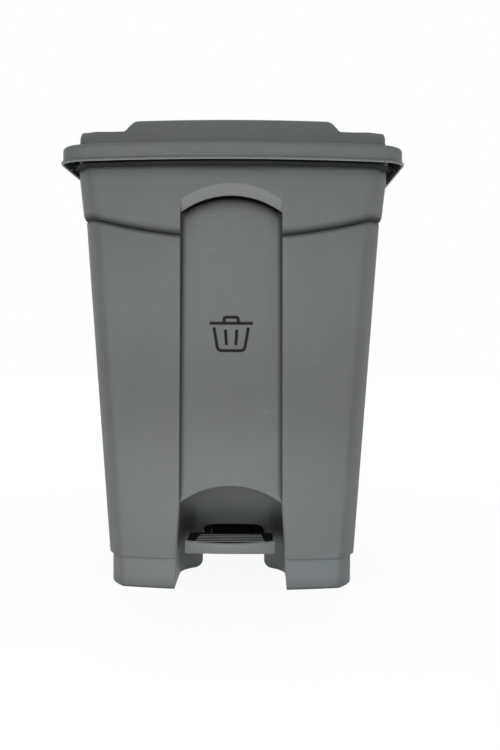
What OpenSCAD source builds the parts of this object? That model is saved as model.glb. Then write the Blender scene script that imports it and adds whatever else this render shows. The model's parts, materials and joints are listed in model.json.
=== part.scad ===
// Step-on waste bin: a moulded tub on a plinth, a hinged lid, and a pedal that lifts it by a steel rod.
// Millimetres. +Z is up, the pedal faces -Y, and the origin is on the floor under the middle of the bin.

/* [Overall] */
// Depth from the front of the lid to the back of the hinge blocks
overall_d = 410; // [396:1:440]
// Height of the tub's rim above the floor
rim_z = 611; // [570:1:680]
// Width of the lid
lid_w = 490; // [484:1:520]

/* [Tub] */
// Width of the collar under the rim
collar_w = 446; // [440:1:452]
// Width of the tub where it stands on the plinth
foot_w = 363; // [340:1:390]
// Distance from the front of the lid back to the collar
front_overhang = 21; // [18:1:26]
// Distance from the back of the rim to the back of the hinge blocks
rear_space = 33; // [30:1:36]
// How far the front of the tub leans in from the rim to the foot
front_lean = 31; // [20:1:36]
// How far the back of the tub leans in from the rim to the foot
rear_lean = 17; // [12:1:20]
// How far the front of the tub bows out at its middle
body_bow = 22; // [8:1:30]
// Radius of the tub's corners seen from above
body_corner = 24; // [14:1:40]
// Wall thickness of the tub
wall = 3.2; // [2:0.2:4.4]
// Height of the tub's raised floor above the ground
floor_z = 92; // [88:1:110]
// How far the collar stands out from the lower body
collar_step = 2.6; // [1.4:0.2:3]
// Height of the shoulder line at the corners
shoulder_z = 535; // [500:1:545]
// How far the shoulder line dips at the middle of the front
shoulder_dip = 27; // [0:1:36]
// Thickness of the rim flange
rim_t = 3; // [2:0.5:4]
// How far the rim's edge turns down
rim_lip_h = 8; // [5:1:12]
// How far the rim's outer edge stays inside the lid's edge
rim_inset = 5; // [3:0.5:8]

/* [Front panel] */
// Width of the recessed panel
panel_w = 144; // [110:1:170]
// Height of the arch where the recess starts
arch_z = 582; // [560:1:590]
// Height that the arch loses from its middle to the panel's edges
arch_rise = 23; // [10:1:30]
// Height of the sloped band under the arch
arch_band = 16; // [8:1:24]
// Depth of the recess under the arch
panel_deep = 12; // [8:1:14]
// Depth of the recess at the pedal opening
panel_shallow = 4; // [4:0.5:6]

/* [Pedal opening] */
// Width of the pedal opening at the floor
mouth_w = 164; // [160:1:176]
// Height of the arch over the pedal opening
mouth_z = 154; // [140:1:180]
// Height of the pedal opening at its sides, where the arch springs
mouth_side_z = 128; // [112:1:138]
// Distance from the middle of the bin back to the end of the opening, at the floor
mouth_back = 8; // [0:1:12]
// Width of the slot that the pedal's arms pass through
slot_w = 98; // [94:1:110]
// Height of the top of that slot
slot_z = 70; // [66:1:76]

/* [Plinth] */
// Height of the plinth's outer wall
plinth_h = 45.5; // [40:0.5:52]
// How far the plinth stands in from the tub above it
plinth_inset = 4; // [3:0.5:8]
// Wall thickness of the plinth
plinth_wall = 3; // [2.4:0.2:4]
// Radius at the plinth's lower outer corners
plinth_toe = 11; // [4:1:16]

/* [Lid] */
// Height of the lid's upright edge band
skirt_h = 22.5; // [16:0.5:30]
// Running gap between the lid's edge and the rim
lid_gap = 1.5; // [1:0.5:3]
// Wall thickness of the lid
lid_wall = 3; // [2.4:0.2:4]
// Height of the lid's broad step above the edge band
step_h = 21.5; // [14:0.5:28]
// Height of the raised middle above the broad step
plateau_h = 18.5; // [10:0.5:24]
// Width of the raised middle on top
plateau_w = 276; // [200:1:300]
// Extra width of the raised middle where it meets the broad step
plateau_flare = 30; // [10:1:40]
// How far the front of the lid bows out at its middle
lid_bow = 31; // [12:1:40]
// Radius of the lid's corners seen from above
lid_corner = 32; // [20:1:50]
// Width of the ledge from the edge band to the broad step
ledge_w = 26; // [16:1:34]
// Depth of the rib under the lid that drops inside the rim
rib_h = 9; // [4:1:14]

/* [Lid hinge] */
// Radius of the hinge pins
pin_r = 3; // [2:0.25:4]
// Radius of the hinge barrels
barrel_r = 7; // [6:0.25:8]
// Distance from the middle of the bin to each hinge
hinge_x = 120; // [90:1:150]
// Width of each hinge block
hinge_w = 46; // [40:1:60]
// Width of the lid's hinge arm between the two cheeks of a block
arm_w = 18; // [12:1:24]
// How far the lid opens, in degrees
lid_open = 75; // [60:1:80]
// Running clearance of the pins, on the radius
pin_play = 0.08; // [0.05:0.01:0.1]

/* [Linkage] */
// Radius of the lift rod
rod_r = 2.5; // [2:0.25:3]
// Distance from the lid's hinge axis to the rod
lid_lever = 19; // [18:0.5:20]
// Distance from the pedal's axle to the rod
tail_len = 120; // [112:1:124]
// Lean of the rod from upright, in degrees
rod_lean = 2.2; // [1.6:0.1:2.6]
// Height of the pedal's axle above the floor
axle_z = 52; // [48:1:54]
// Radius of the pedal's axle
axle_r = 4; // [3:0.25:5]
// Extra room on each side of the rod in the lid lever's slot
slot_play = 1.3; // [1.1:0.1:1.8]
// Width of the channel down the back of the tub
channel_w = 58; // [52:1:70]
// Depth of that channel
channel_d = 15; // [13:0.5:17]

/* [Pedal] */
// Width of the pedal's tread
tread_w = 128; // [110:1:136]
// Distance from the lid's front edge back to the front of the tread
tread_setback = 12; // [6:1:20]
// Depth of the tread
tread_d = 72; // [56:1:84]
// Height of the tread's upper face
tread_z = 79; // [76:1:84]
// Height of the tread's front edge
tread_edge = 15; // [10:1:18]
// How far the front of the tread bows out
tread_bow = 8; // [2:1:12]
// Number of grip ribs across the tread
tread_ribs = 5; // [3:1:7]
// Width of each pedal arm
arm_t = 9; // [6:1:12]
// Distance between the middles of the two pedal arms
arm_span = 78; // [60:1:82]

/* [Hidden] */
// The node whose shape is drawn, or all of them

$fn = 64;
gap = 0.3;        // free space left between parts that do not touch
front_n = 12;     // facets across a bowed front
corner_n = 5;     // facets round a corner
grey = "#6d7170";
pale = "#c9ccce";
black = "#2b2d2e";

// planes that the mouldings share
front_y = -overall_d / 2;
rear_y = overall_d / 2;
collar_y = front_y + front_overhang;
tub_back_y = rear_y - rear_space;
lid_back_y = tub_back_y + 12;
foot_hw = foot_w / 2;
top_hw = collar_w / 2;
rise = rim_z - plinth_h;

// height of a point on the tub as a share of the way from the foot to the rim
function share(z) = (z - plinth_h) / rise;
// outline of the lower body and of the collar at a height
collar_flare = 5.4;
lower_top_hw = top_hw - collar_flare;
function low_hw(z) = foot_hw + (lower_top_hw - foot_hw) * share(z);
function low_yf(z) = collar_y + collar_step + front_lean * (1 - share(z));
function low_yb(z) = tub_back_y - collar_step - rear_lean * (1 - share(z));
function lerp(a, b, t) = a + (b - a) * t;

// A quarter of a circle round a corner of an outline
function corner(cx, cy, r, a0) =
    [for (i = [0:corner_n]) [cx + r * cos(a0 + 90 * i / corner_n), cy + r * sin(a0 + 90 * i / corner_n)]];
// The bow of a front, as a share of its middle
function bowed(p, hw, bow) = p[1] < 0 ? [p[0], p[1] - bow * (1 - pow(p[0] / hw, 2))] : p;
// Rounded outline with a bowed front: half width, front and back in y, bow and corner radius
function outline(hw, yf, yb, bow, r) =
    let (pts = concat(corner(hw - r, yb - r, r, 0),
                      corner(r - hw, yb - r, r, 90),
                      corner(r - hw, yf + bow + r, r, 180),
                      [for (i = [1:front_n - 1]) [(2 * i / front_n - 1) * (hw - r), yf + bow]],
                      corner(hw - r, yf + bow + r, r, 270)))
    [for (p = pts) bowed(p, hw, bow)];
// The same outline as a level ring of points
function ring(z, hw, yf, yb, bow, r) = [for (p = outline(hw, yf, yb, bow, r)) [p[0], p[1], z]];

// A closed solid through rings that all have the same number of points
module loft(rings) {
    n = len(rings[0]);
    m = len(rings);
    low = [for (k = [0:m - 2]) for (i = [0:n - 1])
              [k * n + i, (k + 1) * n + i, (k + 1) * n + (i + 1) % n]];
    high = [for (k = [0:m - 2]) for (i = [0:n - 1])
              [k * n + i, (k + 1) * n + (i + 1) % n, k * n + (i + 1) % n]];
    base = [for (i = [1:n - 2]) [0, i, i + 1]];
    cap = [for (i = [1:n - 2]) [(m - 1) * n, (m - 1) * n + i + 1, (m - 1) * n + i]];
    polyhedron(points = [for (r = rings) for (p = r) p], faces = concat(low, high, base, cap));
}

// A box from its lowest to its highest corner
module block(lo, hi) {
    translate(lo) cube(hi - lo);
}
// A rod or hole along x, centred on x
module x_rod(x, y, z, r, length) {
    translate([x - length / 2, y, z]) rotate([0, 90, 0]) cylinder(r = r, h = length);
}
// A rod or hole along y, starting at y
module y_rod(x, y, z, r, length) {
    translate([x, y, z]) rotate([-90, 0, 0]) cylinder(r = r, h = length);
}
// A rod or hole along z, starting at z
module z_rod(x, y, z, r, length) {
    translate([x, y, z]) cylinder(r = r, h = length);
}
// Rounded bar between two points of a flat drawing, with its own radius at each end
module link(p, rp, q, rq) {
    along = (q - p) / norm(q - p);
    side = [-along[1], along[0]];
    // the straight edges are tangent to both ends
    k = (rp - rq) / norm(q - p);
    up = k * along + sqrt(1 - k * k) * side;
    down = k * along - sqrt(1 - k * k) * side;
    translate(p) circle(r = rp);
    translate(q) circle(r = rq);
    polygon([p + rp * up, p + rp * down, q + rq * down, q + rq * up]);
}
// A drawing of y against z, given a thickness along x
module slab(x, t) {
    translate([x - t / 2, 0, 0]) rotate([90, 0, 90]) linear_extrude(t) children();
}
// A drawing of x against z, drawn from y = y0 back to y = y1
module wall_cut(y0, y1) {
    translate([0, y1, 0]) rotate([90, 0, 0]) linear_extrude(y1 - y0) children();
}
// A pan-headed screw along +z, its head's seat at z = 0 and its shank below it
screw_r = 1.8;
head_r = 3.6;
head_h = 2.2;
module screw(length) {
    translate([0, 0, -length]) cylinder(r = screw_r, h = length);
    cylinder(r = head_r, h = head_h);
}

// ---- the linkage, worked out from the hinge down to the axle ----
hinge_y = rear_y - barrel_r;
hinge_z = rim_z;
half_open = lid_open / 2;
half_lift = lid_lever * tan(half_open);
half_press = asin(half_lift / tail_len);
rod_run = (hinge_z - axle_z + (lid_lever + tail_len) * sin(rod_lean)) / cos(rod_lean);
axle_y = hinge_y - (lid_lever + tail_len) * cos(rod_lean) - rod_run * sin(rod_lean);
// unit directions in the plane of y and z: along the rod, and square to it towards the back
up_rod = [sin(rod_lean), cos(rod_lean)];
behind = [cos(rod_lean), -sin(rod_lean)];
axle = [axle_y, axle_z];
hinge = [hinge_y, hinge_z];
low_pin = axle + tail_len * (cos(half_press) * behind - sin(half_press) * up_rod);
high_pin = low_pin + rod_run * up_rod;
lever_dir = -(cos(half_open) * behind + sin(half_open) * up_rod);
rod_x = 12.5;     // the rod stands beside the tail and the lid lever
rod_bend = 5;     // radius of its bends, at the middle of the wire
function rod_y(z) = low_pin[0] + (z - low_pin[1]) * tan(rod_lean);

// ---- tub ----
flange_hw = lid_w / 2 - rim_inset;
flange_yf = front_y + rim_inset;
flange_yb = lid_back_y - rim_inset;
flange_low = rim_z - rim_t;
shoulder_run = 9;
back_lean = atan(rear_lean / rise);
function low_ring(z, grow) =
    ring(z, low_hw(z) + grow, low_yf(z) - min(grow, collar_step), low_yb(z) + min(grow, collar_step),
         body_bow, body_corner + min(grow, 0));
// height of the shoulder line above a point of the outline
function shoulder_at(p) =
    p[1] < 0 ? shoulder_z - shoulder_dip * max(0, 1 - pow(p[0] / (top_hw - body_corner), 2)) : shoulder_z;
// a ring that follows the shoulder line
function shoulder_ring(dz, grow) =
    let (level = low_ring(shoulder_z, 0))
    [for (i = [0:len(level) - 1]) low_ring(shoulder_at(level[i]) + dz, grow)[i]];

// The arch-topped outline of the front panel: half width, top of the arch, and foot
module arch(hw, top, fall, foot) {
    arc_r = (hw * hw + fall * fall) / (2 * fall);
    intersection() {
        translate([0, top - arc_r]) circle(r = arc_r, $fn = 180);
        translate([-hw, top - 2 * arc_r]) square([2 * hw, 2 * arc_r + 1]);
    }
    translate([-hw, foot]) square([2 * hw, top - fall - foot]);
}
// Body whose front face is the recessed panel, let in by a further depth
module panel_body(extra) {
    foot = plinth_h - 2;
    crown = arch_z + 4;
    reach = (arch_z - arch_band - mouth_z);
    function depth(z) = lerp(panel_shallow, panel_deep, (z - mouth_z) / reach) + extra;
    loft([for (z = [foot, crown])
             ring(z, low_hw(z) - 20, low_yf(z) + depth(z), low_yb(z) - 40, body_bow, body_corner)]);
}
band_depth = 7;
// Space in front of the panel, grown by a wall for the inside of the tub
module panel_space(grow) {
    hw = panel_w / 2 + grow;
    face = collar_y;
    difference() {
        wall_cut(face - 40, face + 60) arch(hw, arch_z - arch_band + grow, arch_rise, plinth_h - 1);
        panel_body(grow);
    }
}
// Sloped band from the collar down into the recess, grown by a wall for the inside of the tub
module band_space(grow) {
    hw = panel_w / 2 + grow;
    n = 24;
    arc_r = (hw * hw + arch_rise * arch_rise) / (2 * arch_rise);
    // the band climbs by its height over its depth, from y to the front
    function band_ring(y) =
        let (top = arch_z + arch_band * (collar_y + grow - y) / band_depth + grow / 2)
        concat([for (i = [0:n]) let (x = hw - 2 * hw * i / n)
                   [x, y, top - arc_r + sqrt(arc_r * arc_r - x * x)]],
               [[-hw, y, arch_z - 60], [hw, y, arch_z - 60]]);
    loft([band_ring(collar_y + band_depth + grow + 4), band_ring(collar_y - 12)]);
}

// The pedal opening: half width and back of the U at a height, grown by a wall
mouth_face = collar_y + front_lean;
mouth_hw = mouth_w / 2;
spring_hw = panel_w / 2 + 2;
mouth_r = (spring_hw * spring_hw + pow(mouth_z - mouth_side_z, 2)) / (2 * (mouth_z - mouth_side_z));
function mouth_half(z, g) =
    z <= mouth_side_z
        ? lerp(mouth_hw, spring_hw, z / mouth_side_z) + g
        : sqrt(max(1, pow(mouth_r + g, 2) - pow(z - mouth_z + mouth_r, 2)));
function mouth_end(z, g) =
    z <= slot_z
        ? mouth_back - 0.17 * z + g
        : mouth_face - 4 + (mouth_back - 0.17 * slot_z + g - mouth_face + 4)
              * sqrt(max(0, 1 - pow((z - slot_z) / (mouth_z + g - slot_z), 2)));
mouth_bend = 58;   // length of the curved end of the U
function mouth_ring(z, g) =
    let (hw = mouth_half(z, g), end = mouth_end(z, g), from = front_y - 20, n = 14,
         bend = min(mouth_bend + g, end - from - 1))
    concat([[-hw, from, z], [hw, from, z]],
           [for (i = [0:n]) let (a = 180 * i / n, c = cos(a), s = sin(a))
               [hw * sign(c) * pow(abs(c), 0.87), end - bend + bend * pow(s, 0.87), z]]);
mouth_levels = [plinth_h / 2, slot_z, 86, 100, 112, 121, mouth_side_z];
module mouth_space(g, foot) {
    top = mouth_z + g;
    arch_levels = [for (k = [0.3, 0.55, 0.75, 0.9, 0.985]) lerp(mouth_side_z, top, k)];
    levels = concat([foot], [for (z = mouth_levels) if (z > foot + 1) z], arch_levels);
    loft([for (z = levels) mouth_ring(z, g)]);
}
// The slot for the pedal's arms, with round upper corners
slot_corner = 12;
module slot_shape(g) {
    hw = slot_w / 2 + g;
    top = slot_z + g;
    r = slot_corner;
    for (s = [-1, 1]) translate([s * (hw - r), top - r]) circle(r = r);
    translate([r - hw, -5]) square([2 * (hw - r), top + 5]);
    translate([-hw, -5]) square([2 * hw, top - r + 5]);
}

// The channel down the back, given its half width and how deep it goes
function chan_y(z) = low_yb(z) - channel_d;
module channel_space(hw, deeper, z0, z1) {
    function at(z) = [[-hw, chan_y(z) - deeper, z], [hw, chan_y(z) - deeper, z],
                      [hw, rear_y + 5, z], [-hw, rear_y + 5, z]];
    loft([at(z0), at(z1)]);
}

// hinge blocks and their screws sit against the back of the collar
block_h = 48;
block_top = hinge_z - 4;
block_screw_z = [hinge_z - 18, hinge_z - 40];
function block_seat(z) = low_yb(z) + collar_step;
back_face = block_seat(rim_z);

module rim() {
    difference() {
        loft([ring(rim_z - rim_lip_h, flange_hw, flange_yf, flange_yb, lid_bow, lid_corner - rim_inset),
              ring(rim_z, flange_hw, flange_yf, flange_yb, lid_bow, lid_corner - rim_inset)]);
        lip = 2.4;
        loft([ring(rim_z - rim_lip_h - 1, flange_hw - lip, flange_yf + lip, flange_yb - lip, lid_bow,
                   lid_corner - rim_inset - lip),
              ring(flange_low, flange_hw - lip, flange_yf + lip, flange_yb - lip, lid_bow,
                   lid_corner - rim_inset - lip)]);
    }
}

floor_under = floor_z - wall;
bracket_x = 56;
bracket_screws = [for (s = [-1, 1]) for (dy = [-14, 14]) [s * (bracket_x + 9), axle_y + dy]];
plinth_screw_x = foot_hw - 41.5;
plinth_screw_y = [low_yf(plinth_h) + 40.4, low_yb(plinth_h) - 32.4];
plinth_screws_at = [for (sx = [-1, 1]) for (y = plinth_screw_y) [sx * plinth_screw_x, y]];
boss_r = 7;

module tub() {
    color(grey) difference() {
        union() {
            difference() {
                union() {
                    loft([low_ring(plinth_h, 0), low_ring(rim_z - 1, 0)]);
                    loft([shoulder_ring(0, -0.4), shoulder_ring(shoulder_run, collar_step),
                          low_ring(rim_z, collar_flare)]);
                }
                panel_space(0);
                band_space(0);
            }
            rim();
        }
        // the inside, above the raised floor
        difference() {
            loft([low_ring(floor_z, -wall), low_ring(shoulder_z, -wall),
                  low_ring(shoulder_z + shoulder_run, collar_step - wall),
                  low_ring(rim_z + 1, collar_flare - wall)]);
            panel_space(wall);
            band_space(wall);
            mouth_space(wall, floor_z - 5);
            channel_space(channel_w / 2 + wall, wall, floor_z - 5, rim_z + 5);
        }
        // the hollow under the floor
        difference() {
            loft([low_ring(plinth_h - 1, -wall), low_ring(floor_under, -wall)]);
            mouth_space(wall, plinth_h - 3);
            channel_space(channel_w / 2 + wall, wall, plinth_h - 3, floor_z);
            for (p = plinth_screws_at) z_rod(p[0], p[1], plinth_h, boss_r, floor_z - plinth_h);
        }
        mouth_space(0, plinth_h - 2);
        wall_cut(mouth_back - 40, mouth_back + 12) slot_shape(0);
        channel_space(channel_w / 2, 0, plinth_h - 2, rim_z + 5);
        // way out for the pedal's tail at the foot of the channel
        block([wall - channel_w / 2, chan_y(plinth_h) - 12, plinth_h - 2],
              [channel_w / 2 - wall, rear_y, floor_under - 2]);
        // breaks in the rim for the hinge blocks
        for (s = [-1, 1])
            block([s * hinge_x - hinge_w / 2 - gap, back_face + 0.2, rim_z - 40],
                  [s * hinge_x + hinge_w / 2 + gap, rear_y, rim_z + 1]);
        for (s = [-1, 1]) for (z = block_screw_z) y_rod(s * hinge_x, back_face - 10, z, screw_r, 20);
        for (p = bracket_screws) z_rod(p[0], p[1], floor_under - 1, screw_r, wall + 2);
        for (p = plinth_screws_at) z_rod(p[0], p[1], plinth_h - 1, screw_r, 21);
        for (z = guide_z) for (x = guide_screws_x)
            translate([x, chan_y(z), z]) rotate([-back_lean, 0, 0]) y_rod(0, -wall - 3, 0, screw_r, wall + 5);
    }
}

// ---- plinth ----
plinth_hw = low_hw(plinth_h) - plinth_inset;
plinth_yf = low_yf(plinth_h) + plinth_inset;
plinth_yb = low_yb(plinth_h) - plinth_inset;
plinth_deck = 3;
axle_room = 72;   // half width of the deck's opening under the axle
sill_h = 20;      // height of the plinth's back wall under the pedal's tail
function plinth_ring(z, g) =
    ring(z, plinth_hw + g, plinth_yf - g, plinth_yb + g, body_bow, body_corner - plinth_inset + min(g, 0));
module base_plinth() {
    toe = plinth_toe;
    color(grey) difference() {
        loft([plinth_ring(0, -toe), plinth_ring(toe * 0.15, -toe * 0.5), plinth_ring(toe * 0.5, -toe * 0.15),
              plinth_ring(toe, 0), plinth_ring(plinth_h, 0)]);
        difference() {
            loft([plinth_ring(-1, -toe - plinth_wall), plinth_ring(toe * 0.6, -plinth_wall - 1),
                  plinth_ring(toe + 1, -plinth_wall), plinth_ring(plinth_h - plinth_deck, -plinth_wall)]);
            mouth_space(plinth_wall, -2);
            for (p = plinth_screws_at) z_rod(p[0], p[1], 2, boss_r, plinth_h);
        }
        mouth_space(0, -3);
        wall_cut(mouth_back - 40, mouth_back + 12) slot_shape(0);
        // room for the lever above the deck and behind the slot
        block([-slot_w / 2, mouth_back, -1], [slot_w / 2, axle_y + 24, plinth_h + 1]);
        block([-axle_room, axle_y - 14, plinth_h - 12], [axle_room, axle_y + 14, plinth_h + 1]);
        block([-channel_w / 2, axle_y, sill_h], [channel_w / 2, rear_y, plinth_h + 1]);
        for (p = plinth_screws_at) z_rod(p[0], p[1], 1, screw_r, plinth_h);
        for (p = plinth_screws_at) z_rod(p[0], p[1], 1, head_r + 0.4, plinth_screw_seat - 1);
    }
}
plinth_screw_seat = 30;
module plinth_screws() {
    color(pale) for (p = plinth_screws_at)
        translate([p[0], p[1], plinth_screw_seat]) rotate([180, 0, 0]) screw(34);
}

// ---- lid ----
edge_z = rim_z + lid_gap;
ledge_z = edge_z + skirt_h;
step_z = ledge_z + step_h;
top_z = step_z + plateau_h;
edge_hw = lid_w / 2;
back_ledge = 16;
// every front edge of the lid follows one curve
function bow_at(hw) = lid_bow * pow(hw / edge_hw, 2);
function lid_ring(z, inset, g) =
    let (hw = edge_hw - inset + g)
    ring(z, hw, front_y + inset - g, lid_back_y - inset * back_ledge / ledge_w + g,
         bow_at(hw), max(8, lid_corner - inset * 0.6 + min(g, 0)));
step_inset = ledge_w;
step_slope = 7;      // how far the broad step's sides lean in
front_slope = 8;     // how far its front leans back
round_in = 5;
step_foot_z = ledge_z + 3;
// where the lid's sloping front lies at a height, shared by the broad step and the raised middle
function front_at(z) = front_y + step_inset + front_slope * (z - step_foot_z) / (step_z - 2 - step_foot_z);
// the broad step leans back further in front than at its sides
function step_ring(z, side, front, g) =
    let (hw = edge_hw - step_inset - side + g)
    ring(z, hw, front - g, lid_back_y - back_ledge - side + g, bow_at(hw), lid_corner - 12 + min(g, 0));
module lid_form(g, foot) {
    loft([lid_ring(foot, 0.6, g), lid_ring(edge_z + skirt_h * 0.4, 0, g),
          lid_ring(ledge_z - round_in + g, 0, g), lid_ring(ledge_z - 1.5 + g, 1.8, g),
          lid_ring(ledge_z + g, round_in, g), lid_ring(ledge_z + 1.5 + g, step_inset - 2, g),
          step_ring(step_foot_z + g, 0, front_at(step_foot_z), g),
          step_ring(step_z - 2 + g, step_slope, front_at(step_z - 2), g),
          step_ring(step_z + g, step_slope + 3, front_at(step_z) + 1.5, g)]);
}
// the raised middle: its sides slope and its front carries on the slope of the step
function plateau_ring(z, t, back, g) =
    let (hw = plateau_w / 2 + plateau_flare * 0.5 * (1 - t) + g)
    ring(z + g, hw, front_at(z) + back - g,
         lid_back_y - back_ledge - step_slope - 14 * t - back + g, bow_at(hw), 7);
module plateau_form(g) {
    loft([plateau_ring(step_z - 8, -0.3, 6, g), plateau_ring(step_z - 2, 0, 0, g),
          plateau_ring(top_z - 4, 0.86, 0, g), plateau_ring(top_z - 1, 0.97, 1, g),
          plateau_ring(top_z, 1.2, 4, g)]);
}
rib_t = 2.5;
rib_play = 3;
function rib_ring(z, g) =
    ring(z, top_hw - wall - rib_play + g, collar_y + wall + rib_play - g,
         tub_back_y - wall - rib_play + g, body_bow, body_corner - wall);
lid_skirt_screw_z = ledge_z - 9;
lever_screw_x = 11;
lever_base_y = lid_back_y - lid_wall - 8.5;
module lid() {
    color(grey) difference() {
        union() {
            difference() {
                union() {
                    lid_form(0, edge_z);
                    plateau_form(0);
                }
                lid_form(-lid_wall, edge_z - 1);
                plateau_form(-lid_wall);
            }
            difference() {
                loft([rib_ring(rim_z - rib_h, 0), rib_ring(ledge_z, 0)]);
                loft([rib_ring(rim_z - rib_h - 1, -rib_t), rib_ring(ledge_z + 1, -rib_t)]);
            }
        }
        for (s = [-1, 1]) for (t = [-1, 1])
            y_rod(s * hinge_x + t * leaf_screw_x, lid_back_y - lid_wall - 2, lid_skirt_screw_z,
                  screw_r, lid_wall + 4);
        for (s = [-1, 1])
            z_rod(s * lever_screw_x, lever_base_y, ledge_z - lid_wall - 3, screw_r, lid_wall + 6);
        // the skirt is notched for the lever
        block([-web_t, lid_back_y - lid_wall - 1, edge_z - 1], [web_t, lid_back_y + 1, edge_z + 9]);
        // the rib is broken where the channel of the tub comes through
        block([-channel_w / 2 - wall - 4, tub_back_y - channel_d - 12, rim_z - rib_h - 1],
              [channel_w / 2 + wall + 4, tub_back_y - wall - 1, rim_z + 6]);
    }
}
module lid_buffers() {
    color(black) for (s = [-1, 1]) for (y = buffer_y)
        z_rod(s * (flange_hw - 8), y, rim_z, buffer_r, ledge_z - lid_wall - rim_z);
}
buffer_r = 4;
buffer_y = [front_y + 110, rear_y - 95];

// ---- lid hinge ----
function block_x(s) = s * hinge_x;
module hinge_block(s) {
    x = block_x(s);
    low = block_top - block_h;
    foot_t = 5;
    color(grey) difference() {
        slab(x, hinge_w) {
            translate(hinge) circle(r = barrel_r);
            polygon([[block_seat(low), low], [block_seat(low) + foot_t, low],
                     [hinge_y + barrel_r * cos(-30), hinge_z + barrel_r * sin(-30)],
                     [hinge_y, block_top], [block_seat(block_top), block_top]]);
        }
        x_rod(x, hinge_y, hinge_z, pin_r, hinge_w + 2);
        // gap between the cheeks
        block([x - arm_w / 2 - gap, hinge_y - barrel_r - 1.5, low - 1],
              [x + arm_w / 2 + gap, rear_y + 1, hinge_z + barrel_r + 1]);
        for (z = block_screw_z) {
            y_rod(x, back_face - 12, z, screw_r, block_h);
            y_rod(x, block_head_y(z), z, head_r + 0.3, block_h);
        }
    }
}
function block_head_y(z) = back_face + 4.5;
module hinge_block_screws() {
    color(pale) for (s = [-1, 1]) for (z = block_screw_z)
        translate([block_x(s), block_head_y(z), z]) rotate([-90, 0, 0]) screw(10);
}
leaf_t = 3;
leaf_w = 40;
leaf_screw_x = 14;
leaf_low = edge_z + 1.5;
leaf_high = ledge_z - 3;
module lid_hinge(s) {
    x = block_x(s);
    seat = lid_back_y;
    color(grey) difference() {
        union() {
            block([x - leaf_w / 2, seat, leaf_low], [x + leaf_w / 2, seat + leaf_t, leaf_high]);
            slab(x, arm_w) {
                translate(hinge) circle(r = barrel_r);
                polygon([[seat, leaf_low], [seat + 2, hinge_z + 1],
                         hinge + barrel_r * [cos(215), sin(215)], hinge + barrel_r * [cos(40), sin(40)],
                         [seat + leaf_t, leaf_high - 2], [seat, leaf_high - 2]]);
            }
        }
        x_rod(x, hinge_y, hinge_z, pin_r + pin_play, arm_w + 2);
        for (t = [-1, 1]) y_rod(x + t * leaf_screw_x, seat - 1, lid_skirt_screw_z, screw_r, leaf_t + 2);
    }
}
module lid_hinge_screws() {
    color(pale) for (s = [-1, 1]) for (t = [-1, 1])
        translate([block_x(s) + t * leaf_screw_x, lid_back_y + leaf_t, lid_skirt_screw_z])
            rotate([-90, 0, 0]) screw(leaf_t + lid_wall + 3);
}
module hinge_pin(s) {
    x = block_x(s);
    color(pale) {
        x_rod(x, hinge_y, hinge_z, pin_r, hinge_w + 1);
        x_rod(x + s * (hinge_w / 2 + 1), hinge_y, hinge_z, pin_r + 1.8, 2);
    }
}

// ---- lid lever ----
web_t = 6;
slot_r = rod_r + slot_play;
slot_in = hinge + (lid_lever - 1) * lever_dir;
slot_out = hinge + (norm(high_pin - hinge) + 0.6) * lever_dir;
lever_rim = 3.2;
module lid_lever_bracket() {
    base = [lever_base_y, ledge_z - lid_wall - 3];
    color(black) difference() {
        union() {
            slab(0, web_t) {
                link(base, 4, slot_out, slot_r + lever_rim);
                link(slot_in, slot_r + lever_rim, slot_out, slot_r + lever_rim);
            }
            block([-lever_screw_x - 6, lever_base_y - 4.5, ledge_z - lid_wall - 3],
                  [lever_screw_x + 6, lever_base_y + 4.5, ledge_z - lid_wall]);
        }
        slab(0, web_t + 2) link(slot_in, slot_r, slot_out, slot_r);
        block([-web_t, lever_base_y - 12, ledge_z - lid_wall], [web_t, lever_base_y + 12, ledge_z + 10]);
        for (s = [-1, 1]) z_rod(s * lever_screw_x, lever_base_y, ledge_z - 20, screw_r, 30);
    }
}
module lid_lever_screws() {
    color(pale) for (s = [-1, 1])
        translate([s * lever_screw_x, lever_base_y, ledge_z - lid_wall - 3])
            rotate([180, 0, 0]) screw(lid_wall + 2);
}

// ---- lift rod ----
hook_end = 9;
cap_t = 3;
tail_t = 12;
module lift_rod() {
    straight = rod_x - rod_bend;
    color(pale) translate([0, low_pin[0], low_pin[1]]) rotate([-rod_lean, 0, 0]) {
        z_rod(rod_x, 0, rod_bend, rod_r, rod_run - 2 * rod_bend);
        for (end = [0, 1]) translate([0, 0, end * rod_run]) {
            x_rod((straight - hook_end) / 2, 0, 0, rod_r, straight + hook_end);
            translate([straight, 0, (1 - 2 * end) * rod_bend]) rotate([end == 0 ? -90 : 90, 0, 0])
                rotate_extrude(angle = 90) translate([rod_bend, 0]) circle(r = rod_r);
        }
    }
}
module rod_cap(p, half_t) {
    x = -half_t - gap - cap_t / 2;
    color(black) difference() {
        x_rod(x, p[0], p[1], rod_r + 3, cap_t);
        x_rod(x, p[0], p[1], rod_r, cap_t + 2);
    }
}
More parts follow.
